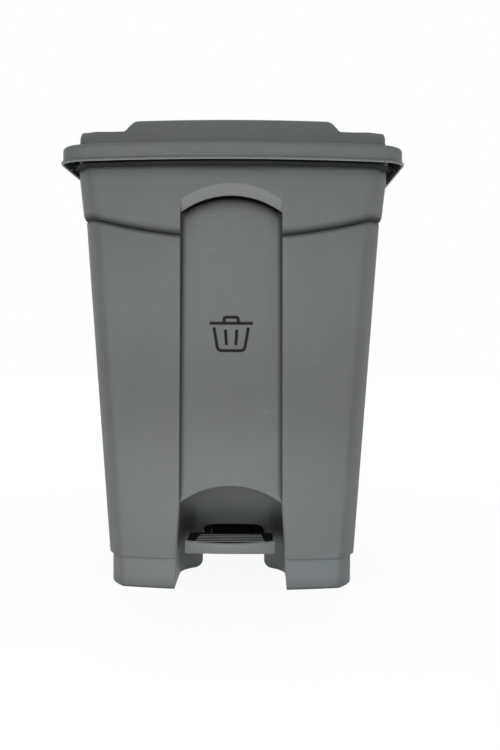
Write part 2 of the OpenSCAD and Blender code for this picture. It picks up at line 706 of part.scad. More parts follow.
// clips that hold the rod against the channel
guide_z = [190, 440];
guide_hw = channel_w / 2 - 1.5;
guide_t = 3;
guide_h = 14;
guide_screws_x = [-18, 23.2];
guide_play = 1.3;
module rod_guide(z) {
    reach = rod_y(z) - chan_y(z);
    ring_r = rod_r + guide_play + 2.4;
    color(black) translate([0, chan_y(z), z]) rotate([-back_lean, 0, 0]) difference() {
        union() {
            block([-guide_hw, 0, -guide_h / 2], [guide_hw, guide_t, guide_h / 2]);
            block([rod_x - ring_r, 0, -guide_h / 2], [rod_x + ring_r, reach, guide_h / 2]);
            z_rod(rod_x, reach, -guide_h / 2, ring_r, guide_h);
        }
        z_rod(rod_x, reach, -guide_h, rod_r + guide_play, 2 * guide_h);
        for (x = guide_screws_x) y_rod(x, -1, 0, screw_r, guide_t + 2);
    }
}
module rod_guide_screws() {
    color(pale) for (z = guide_z) for (x = guide_screws_x)
        translate([0, chan_y(z), z]) rotate([-back_lean, 0, 0])
            translate([x, guide_t, 0]) rotate([-90, 0, 0]) screw(guide_t + wall + 1);
}

// ---- pedal ----
tread_hw = tread_w / 2;
tread_yf = front_y + tread_setback;
tread_yb = tread_yf + tread_bow + tread_d;
tread_t = 3;
edge_t = 2.6;
tread_notch = 7;
function tread_outline(g) =
    let (n = 16, hw = tread_hw - g, back = tread_yb - g, r = 8)
    concat([for (i = [0:n]) let (x = hw * (2 * i / n - 1)) [x, tread_yf + tread_bow * pow(x / hw, 2) + g]],
           [for (i = [0:4]) [hw - r + r * cos(90 * i / 4), back - r + r * sin(90 * i / 4)]],
           [for (i = [0:8]) let (t = 1 - i / 4) [t * arm_span / 2, back - tread_notch * (1 - t * t)]],
           [for (i = [0:4]) [r - hw - r * sin(90 * i / 4), back - r + r * cos(90 * i / 4)]]);
arm_r = 8;
web_h = 8;          // height of the webs that brace the tail against the arms
boss = axle_r + 5;
tail_r = rod_r + 4.5;
module pedal() {
    arm_root = [tread_yf + tread_bow + 12, tread_z - tread_t - arm_r + 1];
    arm_neck = [tread_yb + 12, tread_z - tread_t - arm_r - 3];
    color(grey) difference() {
        union() {
            translate([0, 0, tread_z - tread_t]) linear_extrude(tread_t) polygon(tread_outline(0));
            difference() {
                translate([0, 0, tread_z - tread_edge]) linear_extrude(tread_edge - 0.5)
                    polygon(tread_outline(0));
                translate([0, 0, tread_z - tread_edge - 1]) linear_extrude(tread_edge - tread_t + 1)
                    polygon(tread_outline(edge_t));
                // the edge is shallow at the back, where the arms leave
                block([-tread_hw - 1, tread_yb - tread_d * 0.6, tread_z - tread_edge - 1],
                      [tread_hw + 1, tread_yb + 1, tread_z - tread_t - 4]);
            }
            for (i = [0:tread_ribs - 1]) tread_rib(i);
            for (s = [-1, 1]) slab(s * arm_span / 2, arm_t) {
                link(arm_root, arm_r - 1, arm_neck, arm_r - 1);
                link(arm_neck, arm_r - 1, axle, boss);
            }
            // the arms join behind the axle and run on as one tail
            x_rod(0, axle[0], axle[1], boss, arm_span + arm_t);
            slab(0, tail_t) link(axle, boss, low_pin, tail_r);
            for (s = [-1, 1]) translate([0, 0, axle_z - web_h / 2]) linear_extrude(web_h)
                polygon([[s * 4, axle_y + 34], [s * 4, axle_y],
                         [s * arm_span / 2, axle_y], [s * arm_span / 2, axle_y + 4]]);
        }
        x_rod(0, axle[0], axle[1], axle_r + pin_play, arm_span + arm_t + 2);
        x_rod(0, low_pin[0], low_pin[1], rod_r + pin_play, tail_t + 2);
    }
}
rib_r = 1.7;
module tread_rib(i) {
    pitch = (tread_d - 16) / (tread_ribs);
    y = tread_yf + 12 + i * pitch;
    half = 50 - 1.2 * i;
    x_rod(0, y, tread_z - 0.5, rib_r, 2 * half);
}
axle_half = bracket_x + 7;
module pedal_axle() {
    color(pale) x_rod(0, axle_y, axle_z, axle_r, 2 * axle_half + 6);
}
module axle_clip(s) {
    color(pale) difference() {
        x_rod(s * (axle_half + 1), axle_y, axle_z, axle_r + 4, 1.6);
        x_rod(s * (axle_half + 1), axle_y, axle_z, axle_r, 3);
    }
}
bracket_t = 10;
module axle_bracket(s) {
    x = s * bracket_x;
    pad_t = 4;
    color(black) difference() {
        union() {
            slab(x, bracket_t) {
                translate(axle) circle(r = axle_r + 6);
                polygon([[axle_y - axle_r - 6, axle_z], [axle_y + axle_r + 6, axle_z],
                         [axle_y + 18, floor_under], [axle_y - 18, floor_under]]);
            }
            block([x - 15, axle_y - 20, floor_under - pad_t], [x + 15, axle_y + 20, floor_under]);
        }
        x_rod(x, axle_y, axle_z, axle_r, bracket_t + 2);
        for (dy = [-14, 14]) z_rod(s * (bracket_x + 9), axle_y + dy, floor_under - 30, screw_r, 40);
    }
}
module axle_bracket_screws() {
    color(pale) for (p = bracket_screws)
        translate([p[0], p[1], floor_under - 4]) rotate([180, 0, 0]) screw(wall + 3);
}
stop_r = 7;
stop_y = low_pin[0] - 36;
module pedal_stop() {
    // the stop ends just above the tail of the pressed pedal
    foot = axle_z + (stop_y + stop_r - axle_y) * tan(half_press - rod_lean) + boss + gap;
    color(black) z_rod(0, stop_y, foot, stop_r, floor_under - foot);
}

tub();
base_plinth();
lid();
pedal();
pedal_axle();
axle_clip(-1);  // axle_clip_left
axle_clip(1);  // axle_clip_right
axle_bracket(-1);  // axle_bracket_left
axle_bracket(1);  // axle_bracket_right
axle_bracket_screws();
lift_rod();
rod_cap(high_pin, web_t / 2);  // rod_cap_upper
rod_cap(low_pin, tail_t / 2);  // rod_cap_lower
rod_guide(guide_z[1]);  // rod_guide_upper
rod_guide(guide_z[0]);  // rod_guide_lower
rod_guide_screws();
lid_lever_bracket();
lid_lever_screws();
hinge_block(-1);  // hinge_block_left
hinge_block(1);  // hinge_block_right
hinge_block_screws();
lid_hinge(-1);  // lid_hinge_left
lid_hinge(1);  // lid_hinge_right
lid_hinge_screws();
hinge_pin(-1);  // hinge_pin_left
hinge_pin(1);  // hinge_pin_right
lid_buffers();
plinth_screws();
pedal_stop();
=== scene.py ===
# A step-on waste bin seen from the front: moulded plastic body, lid and pedal on a white floor.
# +Z is up and the pedal faces -Y. The scene is in metres, and its meshes are built in millimetres.
import json
from math import asin, atan2, cos, exp, hypot, pi, radians, sin, sqrt

import bmesh
import bpy
from mathutils import Matrix, Vector


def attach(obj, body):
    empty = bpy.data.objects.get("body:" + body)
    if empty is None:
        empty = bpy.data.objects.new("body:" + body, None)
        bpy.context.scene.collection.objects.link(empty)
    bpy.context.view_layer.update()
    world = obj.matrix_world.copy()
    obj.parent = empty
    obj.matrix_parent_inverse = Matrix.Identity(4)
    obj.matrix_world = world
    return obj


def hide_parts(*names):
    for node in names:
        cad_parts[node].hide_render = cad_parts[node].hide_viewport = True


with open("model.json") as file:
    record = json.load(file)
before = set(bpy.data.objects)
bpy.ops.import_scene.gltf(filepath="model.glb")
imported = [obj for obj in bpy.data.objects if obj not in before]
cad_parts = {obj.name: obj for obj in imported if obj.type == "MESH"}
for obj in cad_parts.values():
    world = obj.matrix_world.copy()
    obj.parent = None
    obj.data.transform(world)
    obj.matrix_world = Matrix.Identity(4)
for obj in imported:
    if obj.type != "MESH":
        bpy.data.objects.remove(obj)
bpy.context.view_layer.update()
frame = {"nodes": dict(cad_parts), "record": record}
nodes = frame["nodes"]
mm = 0.001


# metres and radians, with the lens and the sensor in millimetres
cameraSetup = {"position": (0.0469, -1.5495, 0.373), "pan": -0.0142, "tilt": -0.0421, "roll": 0.0054,
               "lens": 46.81, "sensorHeight": 36.0}


def addCamera():
    pan, tilt, roll = (cameraSetup[key] for key in ("pan", "tilt", "roll"))
    forward = Vector((sin(pan) * cos(tilt), cos(pan) * cos(tilt), sin(tilt)))
    side = forward.cross(Vector((0, 0, 1))).normalized()
    up = side.cross(forward)
    right = cos(roll) * side + sin(roll) * up
    top = cos(roll) * up - sin(roll) * side
    data = bpy.data.cameras.new("camera")
    data.sensor_fit = "VERTICAL"
    data.sensor_height = cameraSetup["sensorHeight"]
    data.lens = cameraSetup["lens"]
    data.dof.use_dof = False
    camera = bpy.data.objects.new("camera", data)
    camera.matrix_world = Matrix.Translation(cameraSetup["position"]) @ Matrix(
        (right, top, -forward)).transposed().to_4x4()
    bpy.context.scene.collection.objects.link(camera)
    bpy.context.scene.camera = camera
    print("camera set, lens", data.lens)


# metres; the white is a little stronger where the lit floor is mixed in, whose share fades out round the bin
stageSetup = {"floorSize": 14.0, "floorGrey": 0.8, "floorRough": 0.7, "shadowShare": 0.12, "shadowReach": 1.5,
              "fadeFrom": 0.5, "whiteLift": 0.5, "worldGrey": 0.14}
lights = [
    # name, position, aimed at, width and height, watts, colour
    ("frontLeft", (-0.4, -1.7, 0.75), (0, 0, 0.3), (0.9, 0.9), 4.6, (1.0, 0.98, 0.94)),
    ("frontRight", (1.3, -2.6, 0.8), (0, 0, 0.3), (0.9, 0.9), 6.4, (0.91, 0.965, 1.0)),
    ("floorBounce", (-0.08, -0.85, 0.08), (-0.02, -0.1, 0.06), (1.1, 0.16), 3.4, (1.0, 1.0, 1.0)),
    ("high", (0, -1.3, 2.0), (0, -0.15, 0.6), (1.4, 0.8), 7.8, (1.0, 1.0, 1.0)),
    ("sideLeft", (-2.3, 2.6, 0.8), (0, 0, 0.3), (1.0, 1.0), 1.4, (1.0, 0.99, 0.97)),
    ("sideRight", (2.7, -0.1, 0.8), (0, 0, 0.3), (1.0, 1.0), 6.0, (0.96, 0.98, 1.0)),
    ("backLeft", (-1.0, 2.9, 0.9), (0, 0, 0.3), (1.3, 1.2), 22, (1.0, 0.99, 0.97)),
    ("backRight", (1.0, 2.9, 1.0), (0, 0, 0.3), (1.3, 1.2), 18, (0.95, 0.98, 1.0)),
]


# the camera, mirrors and glass see white, with a share of the lit surface in it
def whiteToView(tree, lit, share, output, reach=0):
    white = addNode(tree, "Emission", Strength=1.0 + stageSetup["whiteLift"] * share)
    path = addNode(tree, "LightPath")
    shiny = combine(tree, "MAXIMUM", path.outputs["Is Glossy Ray"], path.outputs["Is Transmission Ray"])
    direct = combine(tree, "MAXIMUM", path.outputs["Is Camera Ray"], shiny)
    seen = addNode(tree, "Math", [(0, direct)], operation="MULTIPLY")
    seen.inputs[1].default_value = 1 - share
    if reach:
        away = addNode(tree, "VectorMath", [(0, objectPlace(tree))], operation="LENGTH").outputs["Value"]
        rest = remap(tree, away, reach * stageSetup["fadeFrom"], reach, 1 - share, 1.0)
        tree.links.new(rest, seen.inputs[1])
    pick = addNode(tree, "MixShader", [("Fac", seen.outputs["Value"]), (1, lit),
                                       (2, white.outputs["Emission"])])
    tree.links.new(pick.outputs["Shader"], output)


def addStage():
    mesh = bpy.data.meshes.new("floor")
    bm = bmesh.new()
    bmesh.ops.create_grid(bm, x_segments=1, y_segments=1, size=stageSetup["floorSize"] / 2)
    bm.to_mesh(mesh)
    bm.free()
    floor = bpy.data.objects.new("floor", mesh)
    bpy.context.scene.collection.objects.link(floor)
    mat, tree, shader = newMaterial("floorWhite")
    shader.inputs["Base Color"].default_value = (stageSetup["floorGrey"],) * 3 + (1,)
    shader.inputs["Roughness"].default_value = stageSetup["floorRough"]
    whiteToView(tree, shader.outputs["BSDF"], stageSetup["shadowShare"],
                tree.nodes["Material Output"].inputs["Surface"], stageSetup["shadowReach"])
    mesh.materials.append(mat)

    world = bpy.data.worlds.new("world")
    world.use_nodes = True
    tree = world.node_tree
    tree.nodes.clear()
    output = tree.nodes.new("ShaderNodeOutputWorld")
    soft = addNode(tree, "Background", Color=(stageSetup["worldGrey"],) * 3 + (1,))
    whiteToView(tree, soft.outputs["Background"], 0, output.inputs["Surface"])
    bpy.context.scene.world = world

    for name, position, target, size, watts, colour in lights:
        data = bpy.data.lights.new(name, "AREA")
        data.shape = "RECTANGLE"
        data.size, data.size_y = size
        data.energy = watts
        data.color = colour
        light = bpy.data.objects.new(name, data)
        light.location = position
        light.rotation_euler = (Vector(target) - Vector(position)).to_track_quat("-Z", "Y").to_euler()
        bpy.context.scene.collection.objects.link(light)
    print("floor, world and", len(lights), "lamps set")


def newMaterial(name):
    mat = bpy.data.materials.new(name)
    mat.use_nodes = True
    tree = mat.node_tree
    tree.nodes.clear()
    output = tree.nodes.new("ShaderNodeOutputMaterial")
    shader = tree.nodes.new("ShaderNodeBsdfPrincipled")
    tree.links.new(shader.outputs["BSDF"], output.inputs["Surface"])
    return mat, tree, shader


def newGroup(name, inputs, outputs):
    group = bpy.data.node_groups.new(name, "ShaderNodeTree")
    for socketName, kind, value in inputs:
        socket = group.interface.new_socket(socketName, in_out="INPUT", socket_type=kind)
        socket.default_value = value
    for socketName, kind in outputs:
        group.interface.new_socket(socketName, in_out="OUTPUT", socket_type=kind)
    return group, group.nodes.new("NodeGroupInput"), group.nodes.new("NodeGroupOutput")


def addNode(tree, kind, links=(), **values):    # a node, its settings, its fixed inputs and what feeds it
    node = tree.nodes.new("ShaderNode" + kind)
    for key, value in values.items():
        if hasattr(node, key):
            setattr(node, key, value)
        else:
            node.inputs[key.replace("_", " ")].default_value = value
    for socket, source in links:
        tree.links.new(source, node.inputs[socket])
    return node


def objectPlace(tree):
    return addNode(tree, "TexCoord").outputs["Object"]


def combine(tree, operation, first, second, kind="Math", **values):
    return addNode(tree, kind, [(0, first), (1, second)], operation=operation, **values).outputs[0]


def noise(tree, place, scale, detail, **values):    # one number scales it evenly, three stretch it
    if isinstance(scale, tuple):
        stretched = addNode(tree, "Mapping", [("Vector", place)], Scale=scale, **values)
        return noise(tree, stretched.outputs["Vector"], 1.0, detail)
    return addNode(tree, "TexNoise", [("Vector", place)], Scale=scale, Detail=detail, **values).outputs["Fac"]


def remap(tree, source, low, high, toLow, toHigh):
    return addNode(tree, "MapRange", [("Value", source)], From_Min=low, From_Max=high, To_Min=toLow,
                   To_Max=toHigh).outputs["Result"]


def swing(tree, source, low, high):    # a noise's usual values, spread out to run from low to high
    return remap(tree, source, 0.3, 0.7, low, high)


def returnAll(group, result, outputs):
    for name, source in outputs.items():
        group.links.new(source, result.inputs[name])
    return group


# scales of the patterns in cells to the metre, and how strongly each one shows
mouldingSetup = {
    "grainScale": 1300.0, "grainHeight": 0.0004,
    "cloudScale": 9.0, "cloudShade": (0.965, 1.035), "cloudGloss": (-0.04, 0.04),
    "streakScale": (26, 26, 7), "streakShade": (0.985, 1.015),
    "scratchScale": (22, 160, 420), "scratchTurn": (0.3, 0.9, 0.5), "scratchPick": (0.66, 0.71),
    "scuffPick": (0.55, 0.68), "nookReach": 0.02, "gloomRoughness": 0.4,
    "hueScale": 5.0, "huePick": (0.4, 0.6), "warm": (1.02, 1.0, 0.98, 1), "cool": (0.975, 1.0, 1.03, 1),
    "rubbedColour": (0.42, 0.43, 0.43, 1)}


def moulding():    # injection moulded plastic: fine grain, clouding and light scuffs, with painted shade in recesses and painted shade and highlights from each piece's attributes
    look = mouldingSetup
    group, given, result = newGroup("moulding", [
        ("Colour", "NodeSocketColor", (0.15, 0.16, 0.16, 1)), ("Roughness", "NodeSocketFloat", 0.4),
        ("Grain", "NodeSocketFloat", 0.3), ("Scuffs", "NodeSocketFloat", 0.2),
        ("Recess", "NodeSocketFloat", 0.5)],
        [("Colour", "NodeSocketColor"), ("Roughness", "NodeSocketFloat"), ("Normal", "NodeSocketVector")])
    place = objectPlace(group)
    grain = noise(group, place, look["grainScale"], 3.0)
    cloud = noise(group, place, look["cloudScale"], 5.0, Roughness=0.6)
    streak = noise(group, place, look["streakScale"], 4.0)
    scratch = noise(group, place, look["scratchScale"], 2.0, Rotation=look["scratchTurn"])
    scuffs = combine(group, "MULTIPLY", remap(group, scratch, *look["scratchPick"], 0.0, 1.0),
                     remap(group, streak, *look["scuffPick"], 0.0, 1.0))
    scuffs = combine(group, "MULTIPLY", scuffs, given.outputs["Scuffs"])
    shade = combine(group, "MULTIPLY", swing(group, cloud, *look["cloudShade"]),
                    swing(group, streak, *look["streakShade"]))
    # painted shade: ambient occlusion darkens the colour in recesses
    nookShade = addNode(group, "AmbientOcclusion", samples=6, Distance=look["nookReach"]).outputs["AO"]
    shade = combine(group, "MULTIPLY", shade, combine(group, "POWER", nookShade, given.outputs["Recess"]))
    # painted shade and painted light, read from the attributes that each piece sets
    gloom = addNode(group, "Attribute", attribute_name="gloom").outputs["Fac"]
    wear = addNode(group, "Attribute", attribute_name="wear").outputs["Fac"]
    shade = combine(group, "MULTIPLY", shade, remap(group, gloom, 0, 1, 1, 0))
    hue = remap(group, noise(group, place, look["hueScale"], 3.0), *look["huePick"], 0.0, 1.0)
    tint = addNode(group, "Mix", [("Factor", hue)], data_type="RGBA", A=look["warm"], B=look["cool"])
    tone = combine(group, "MULTIPLY", given.outputs["Colour"], tint.outputs["Result"], "VectorMath")
    tone = combine(group, "MULTIPLY", tone, shade, "VectorMath")
    # light scuffs, plus the painted highlights, mixed towards a paler colour
    scuffsAndHighlights = combine(group, "ADD", scuffs, wear, use_clamp=True)
    pale = addNode(group, "Mix", [("Factor", scuffsAndHighlights), ("A", tone)], data_type="RGBA", B=look["rubbedColour"])
    rough = combine(group, "ADD", given.outputs["Roughness"], swing(group, cloud, *look["cloudGloss"]))
    rough = combine(group, "ADD", rough, remap(group, gloom, 0, 1, 0, look["gloomRoughness"]))
    bump = addNode(group, "Bump", [("Height", grain), ("Strength", given.outputs["Grain"])],
                   Distance=look["grainHeight"])
    return returnAll(group, result, {"Colour": pale.outputs["Result"], "Roughness": rough,
                                     "Normal": bump.outputs["Normal"]})


metalSetup = {"patchScale": 160.0, "patchShade": (0.94, 1.04), "cloudScale": 60.0, "cloudShade": (0.92, 1.05),
              "brushScale": (150, 900, 2600), "brushGloss": (-0.08, 0.1), "brushHeight": 0.0001}


def wornMetal():    # zinc plated steel: faint cloudy patches and brushed roughness
    look = metalSetup
    group, given, result = newGroup("wornMetal", [
        ("Colour", "NodeSocketColor", (0.6, 0.6, 0.6, 1)), ("Roughness", "NodeSocketFloat", 0.3),
        ("Brushing", "NodeSocketFloat", 0.3)],
        [("Colour", "NodeSocketColor"), ("Roughness", "NodeSocketFloat"), ("Normal", "NodeSocketVector")])
    place = objectPlace(group)
    patches = addNode(group, "TexVoronoi", [("Vector", place)], Scale=look["patchScale"]).outputs["Distance"]
    cloud = noise(group, place, look["cloudScale"], 4.0)
    lines = noise(group, place, look["brushScale"], 3.0)
    shade = combine(group, "MULTIPLY", remap(group, patches, 0.0, 1.0, *look["patchShade"]),
                    swing(group, cloud, *look["cloudShade"]))
    tone = combine(group, "MULTIPLY", given.outputs["Colour"], shade, "VectorMath")
    rough = combine(group, "ADD", given.outputs["Roughness"], swing(group, lines, *look["brushGloss"]))
    bump = addNode(group, "Bump", [("Height", lines), ("Strength", given.outputs["Brushing"])],
                   Distance=look["brushHeight"])
    return returnAll(group, result, {"Colour": tone, "Roughness": rough, "Normal": bump.outputs["Normal"]})


def finish(name, group, values, metallic=0.0, specular=0.5):
    mat, tree, shader = newMaterial(name)
    shader.inputs["Metallic"].default_value = metallic
    shader.inputs["Specular IOR Level"].default_value = specular
    surface = tree.nodes.new("ShaderNodeGroup")
    surface.node_tree = group
    for key, value in values.items():
        surface.inputs[key].default_value = value
    for output, socket in (("Colour", "Base Color"), ("Roughness", "Roughness"), ("Normal", "Normal")):
        tree.links.new(surface.outputs[output], shader.inputs[socket])
    return mat


# shared outlines, in millimetres: each mesh is scaled to metres once it is finished
overall = {"rim": 611.0, "plinth": 45.5, "wall": 3.2}
body = {"footHalf": 183.2, "topHalf": 218.2, "front": -181.4, "frontLean": 31.0, "back": 169.4,
        "backLean": 17.0, "bow": 22.0, "faceInset": 20.0, "corner": 24.0, "cornerDeep": 1.5,
        "cornerFlat": 1.6}
sharpFrom = 32    # degrees between two faces from which their edge stays sharp
deepShadeFrom = 0.94    # painted shade from which a face takes the last finish of its piece, a shaded copy with little gloss


def lerp(a, b, t):
    return a + (b - a) * t


def ease(t):
    t = min(max(t, 0.0), 1.0)
    return t * t * (3 - 2 * t)


def heightShare(z):
    return (z - overall["plinth"]) / (overall["rim"] - overall["plinth"])


def bodyHalf(z):
    return lerp(body["footHalf"], body["topHalf"], heightShare(z))


def bodyFront(z):
    return body["front"] + body["frontLean"] * (1 - heightShare(z))


def bodyBack(z):
    return body["back"] - body["backLean"] * (1 - heightShare(z))


def depthIn(x, y, half, front, bow, corner):    # how far a point is inside a bowed outline's front and sides
    across, along = x - half + corner, front + bow * (x / half) ** 2 + corner - y
    return corner - (hypot(across, along) if min(across, along) > 0 else max(across, along))


def rowPairs(row, closed):
    return list(zip(row, row[1:])) + ([(row[-1], row[0])] if closed else [])


def firstRow(bm, points, closed=True):
    row = [bm.verts.new(point) for point in points]
    for pair in rowPairs(row, closed):
        bm.edges.new(pair)
    return row


def rowEdges(bm, row, closed=True):
    return [bm.edges.get(pair) for pair in rowPairs(row, closed)]


def nextRow(bm, row, points, closed=True):
    made = set(bmesh.ops.extrude_edge_only(bm, edges=rowEdges(bm, row, closed))["geom"])
    new = [next(e.other_vert(v) for e in v.link_edges if e.other_vert(v) in made) for v in row]
    for vert, point in zip(new, points):
        vert.co = point
    return new


def loftRows(bm, rows, closed=True):
    made = [firstRow(bm, rows[0], closed)]
    for points in rows[1:]:
        made.append(nextRow(bm, made[-1], points, closed))
    return made


def cap(bm, row):
    bmesh.ops.contextual_create(bm, geom=rowEdges(bm, row))


def loftSolid(bm, rows):    # lofted rows with both ends closed
    made = loftRows(bm, rows)
    cap(bm, made[0])
    cap(bm, made[-1])


def faceOut(bm, merge=0):    # merges doubles where a distance is given, then turns every face outwards
    if merge:
        bmesh.ops.remove_doubles(bm, verts=bm.verts, dist=merge)
    bmesh.ops.recalc_face_normals(bm, faces=bm.faces)


def boxCutter(bm, half, ys, zs, x=0):    # a box from its half width, its reach in y and its reach in z
    lo, hi = (x - half, ys[0], zs[0]), (x + half, ys[1], zs[1])
    for vert in bmesh.ops.create_cube(bm, size=1)["verts"]:
        vert.co = [lerp(lo[i], hi[i], vert.co[i] + 0.5) for i in range(3)]


def roundEdges(bm, edges, width, segments, **values):
    bmesh.ops.bevel(bm, geom=edges, offset=width, segments=segments, affect="EDGES", profile=0.5, material=-1,
                    **values)


def joinInto(bm, other):
    mesh = bpy.data.meshes.new("part")
    other.to_mesh(mesh)
    other.free()
    bm.from_mesh(mesh)
    bpy.data.meshes.remove(mesh)


def meshObject(name, bm):
    mesh = bpy.data.meshes.new(name)
    bm.to_mesh(mesh)
    bm.free()
    obj = bpy.data.objects.new(name, mesh)
    bpy.context.scene.collection.objects.link(obj)
    return obj


def carve(bm, cutter):    # takes the cutter's boxes and slots out of a closed mesh
    work, tool = meshObject("work", bm), meshObject("tool", cutter)
    cut = work.modifiers.new("cut", "BOOLEAN")
    cut.operation, cut.solver, cut.object = "DIFFERENCE", "EXACT", tool
    cut.use_self = True
    bpy.context.view_layer.update()
    result = bmesh.new()
    result.from_object(work, bpy.context.evaluated_depsgraph_get())
    for obj in (work, tool):
        mesh = obj.data
        bpy.data.objects.remove(obj)
        bpy.data.meshes.remove(mesh)
    return result


def finishPiece(name, bm, materials, bodyName, stands=(), marks=None):
    faceOut(bm)
    if marks:    # how much shade and how much light is painted on each point
        gloom, wear = bm.verts.layers.float.new("gloom"), bm.verts.layers.float.new("wear")
        for vert in bm.verts:
            vert[gloom], vert[wear] = marks(abs(vert.co.x), vert.co.y, vert.co.z)
        # faces deep in painted shade take the piece's last finish, a shaded copy with little gloss
        for face in bm.faces:
            if min(vert[gloom] for vert in face.verts) > deepShadeFrom:
                face.material_index = len(materials) - 1
    bmesh.ops.scale(bm, vec=(mm, mm, mm), verts=bm.verts)
    obj = meshObject(name, bm)
    for material in materials:
        obj.data.materials.append(material)
    obj.data.polygons.foreach_set("use_smooth", [True] * len(obj.data.polygons))
    obj.data.set_sharp_from_angle(angle=radians(sharpFrom))
    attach(obj, bodyName)
    if stands:
        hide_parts(*stands)
    print("made", name, len(obj.data.vertices))
    return obj


tub = {
    "collarStep": 2.6, "collarFlare": 5.4, "shoulder": 535.0, "shoulderDip": 27.0, "shoulderHalf": 199.0,
    # the groove and lip under the collar: height, share of the step, and how far the groove goes in
    "shoulderEdge": ((-6, 0, 0), (-3, 0, 0.3), (-1, 0, 1.0), (0, 0, 1.7), (0.5, 0, 0.6), (1.5, 0.18, 0),
                     (3, 0.47, 0), (5, 0.71, 0), (8, 0.92, 0), (12, 1, 0)),
    # the arch, and the sloped band over it: each row a share of its height and more, then of its depth
    "archFoot": 566.0, "archRise": 23.0, "bandHeight": 16.0, "bandDepth": 7.0, "bandOver": 1.5,
    "bandRows": ((0, 0.3, 1, 0.6), (0, 1, 1, 0), (0.5, 0, 0.5, 0), (0.92, 0, 0.08, 0), (1, 0, 0, 0.12)),
    # the line of the arch's foot, carried on round the collar
    "lineRun": 128.0, "lineRise": 8.0,
    "panelHalf": 71.0, "panelFlare": 3.0, "panelDeep": 12.0, "panelShallow": 4.0,
    # the rounding at the panel's foot: shares of its width, and how much shallower each point is
    "foot": 1.5, "footShares": (1, 0.4, 0.15), "footLess": (0, 0.35, 1.2),
    "rollLow": 6.0, "rollHigh": 1.4, "rollDepth": 2.2, "collarRoll": 0.5,
    # the pedal opening and the vault over it
    "mouthHalf": 82.0, "mouthTop": 154.0, "mouthSide": 128.0, "mouthBack": 8.0, "mouthLean": 0.17,
    "mouthSetIn": 6.6, "mouthBend": 58.0, "bendMost": 0.98, "bendSquare": 0.87, "bendSteps": 22,
    "domeRows": 12,
    "slotHalf": 49.0, "slotTop": 70.0, "slotCorner": 12.0, "slotFoot": 12.0, "slotLow": -5.0,
    "slotReach": (-32.0, 20.0),
    # the channel down the back and the rounding of its edges
    "channelHalf": 29.0, "channelDeep": 15.0, "channelEdge": (2.0, 0.6, 0.0), "floorTop": 92.0,
    "rimHalf": 234.5, "rimFront": -200.0, "rimBack": 179.0, "rimBow": 31.0, "rimCorner": 27.0,
    "rimThick": 2.2, "lipDrop": 4.0, "lipThick": 2.2, "rimSetBack": 3.0,
    # heights of the rows under the arch, and shares of the way up between the lines above it
    "footEdge": 1.2, "lowLevels": (58.0, 70.0, 86.8, 100.0, 112.0, 121.0), "innerFrom": 4,
    "panelRows": (0.02, 0.06, 0.12, 0.2, 0.3, 0.4, 0.5, 0.6, 0.7, 0.8, 0.9), "footGrows": 0.12,
    "collarRows": (0.35, 0.6, 0.8, 0.93), "crownRows": (0.35, 0.65, 0.85, 1), "merge": 0.02,
}


def mouthRadius(grow):
    half = tub["panelHalf"] + tub["panelFlare"] + grow
    drop = tub["mouthTop"] - tub["mouthSide"] + grow
    return (half * half + drop * drop) / (2 * drop)


def mouthArchAt(x, grow):    # height of the arch over the pedal
    radius = mouthRadius(grow)
    return tub["mouthTop"] + grow - radius + sqrt(max(0.0, radius * radius - x * x))


def panelEdgeAt(z, grow):    # half width of the panel, and of the pedal opening under it
    foot, side = tub["panelHalf"] + tub["panelFlare"], tub["mouthSide"]
    if z <= side:
        return lerp(tub["mouthHalf"], foot, z / side) + grow
    return lerp(foot, tub["panelHalf"], min(1, (z - side) / (tub["archFoot"] - side))) + grow


def mouthEndAt(z, grow):    # how far back the pedal opening goes
    back = tub["mouthBack"] - tub["mouthLean"] * min(z, tub["slotTop"]) + grow
    if z <= tub["slotTop"]:
        return back
    front = bodyFront(overall["plinth"]) - tub["mouthSetIn"]
    high = (z - tub["slotTop"]) / (tub["mouthTop"] + grow - tub["slotTop"])
    return front + (back - front) * sqrt(max(0.0, 1 - high * high))


def panelArchAt(x, grow):    # height of the panel's arch, at the foot of the sloped band
    half = tub["panelHalf"] + grow
    radius = (half * half + tub["archRise"] ** 2) / (2 * tub["archRise"])
    return tub["archFoot"] + grow - radius + sqrt(radius * radius - min(abs(x), half) ** 2)


def panelDepthAt(z):
    return lerp(tub["panelShallow"], tub["panelDeep"],
                (z - tub["mouthTop"]) / (tub["archFoot"] - tub["mouthTop"]))


def footDepthsAt(z):
    full = panelDepthAt(z)
    return tuple(full - less for less in tub["footLess"])


def panelFaceAt(z, grow):    # the recessed face of the panel
    half = bodyHalf(z) - body["faceInset"]
    return lambda x, depth: bodyFront(z) + grow + depth + body["bow"] * (x / half) ** 2


def panelPoint(x, z, grow, lift=0):    # a point on the recessed face, or lifted off it
    return x, panelFaceAt(z, grow)(x, footDepthsAt(z)[0]) - lift, z


# one side of the tub from the middle of the front round to the middle of the back
halfColumns = ([("panel", k / 12) for k in range(12)] + [("foot", k) for k in range(3)]
               + [("roll", k / 5) for k in range(6)] + [("front", k / 14) for k in range(1, 14)]
               + [("frontCorner", k / 8) for k in range(9)] + [("side", k / 8) for k in range(1, 8)]
               + [("backCorner", k / 8) for k in range(9)] + [("back", k / 8) for k in range(1, 8)]
               + [("lip", k) for k in range(3)] + [("well", k) for k in range(3)]
               + [("bed", k / 3) for k in range(3)])
columns = ([(kind, k, 1) for kind, k in halfColumns] + [("bed", 1.0, 1)]
           + [(kind, k, -1) for kind, k in reversed(halfColumns[1:])])


def bowedCorner(cx, cy, radius, angle, half, bow, deep=1, flat=1):    # flat over 1 draws it towards a bevel
    x = cx + radius * max(0, cos(radians(angle))) ** flat
    y = cy + radius * deep * abs(sin(radians(angle))) ** flat * (1 if angle > 0 else -1)
    return x, (y - bow * (1 - (x / half) ** 2) if y < 0 else y)


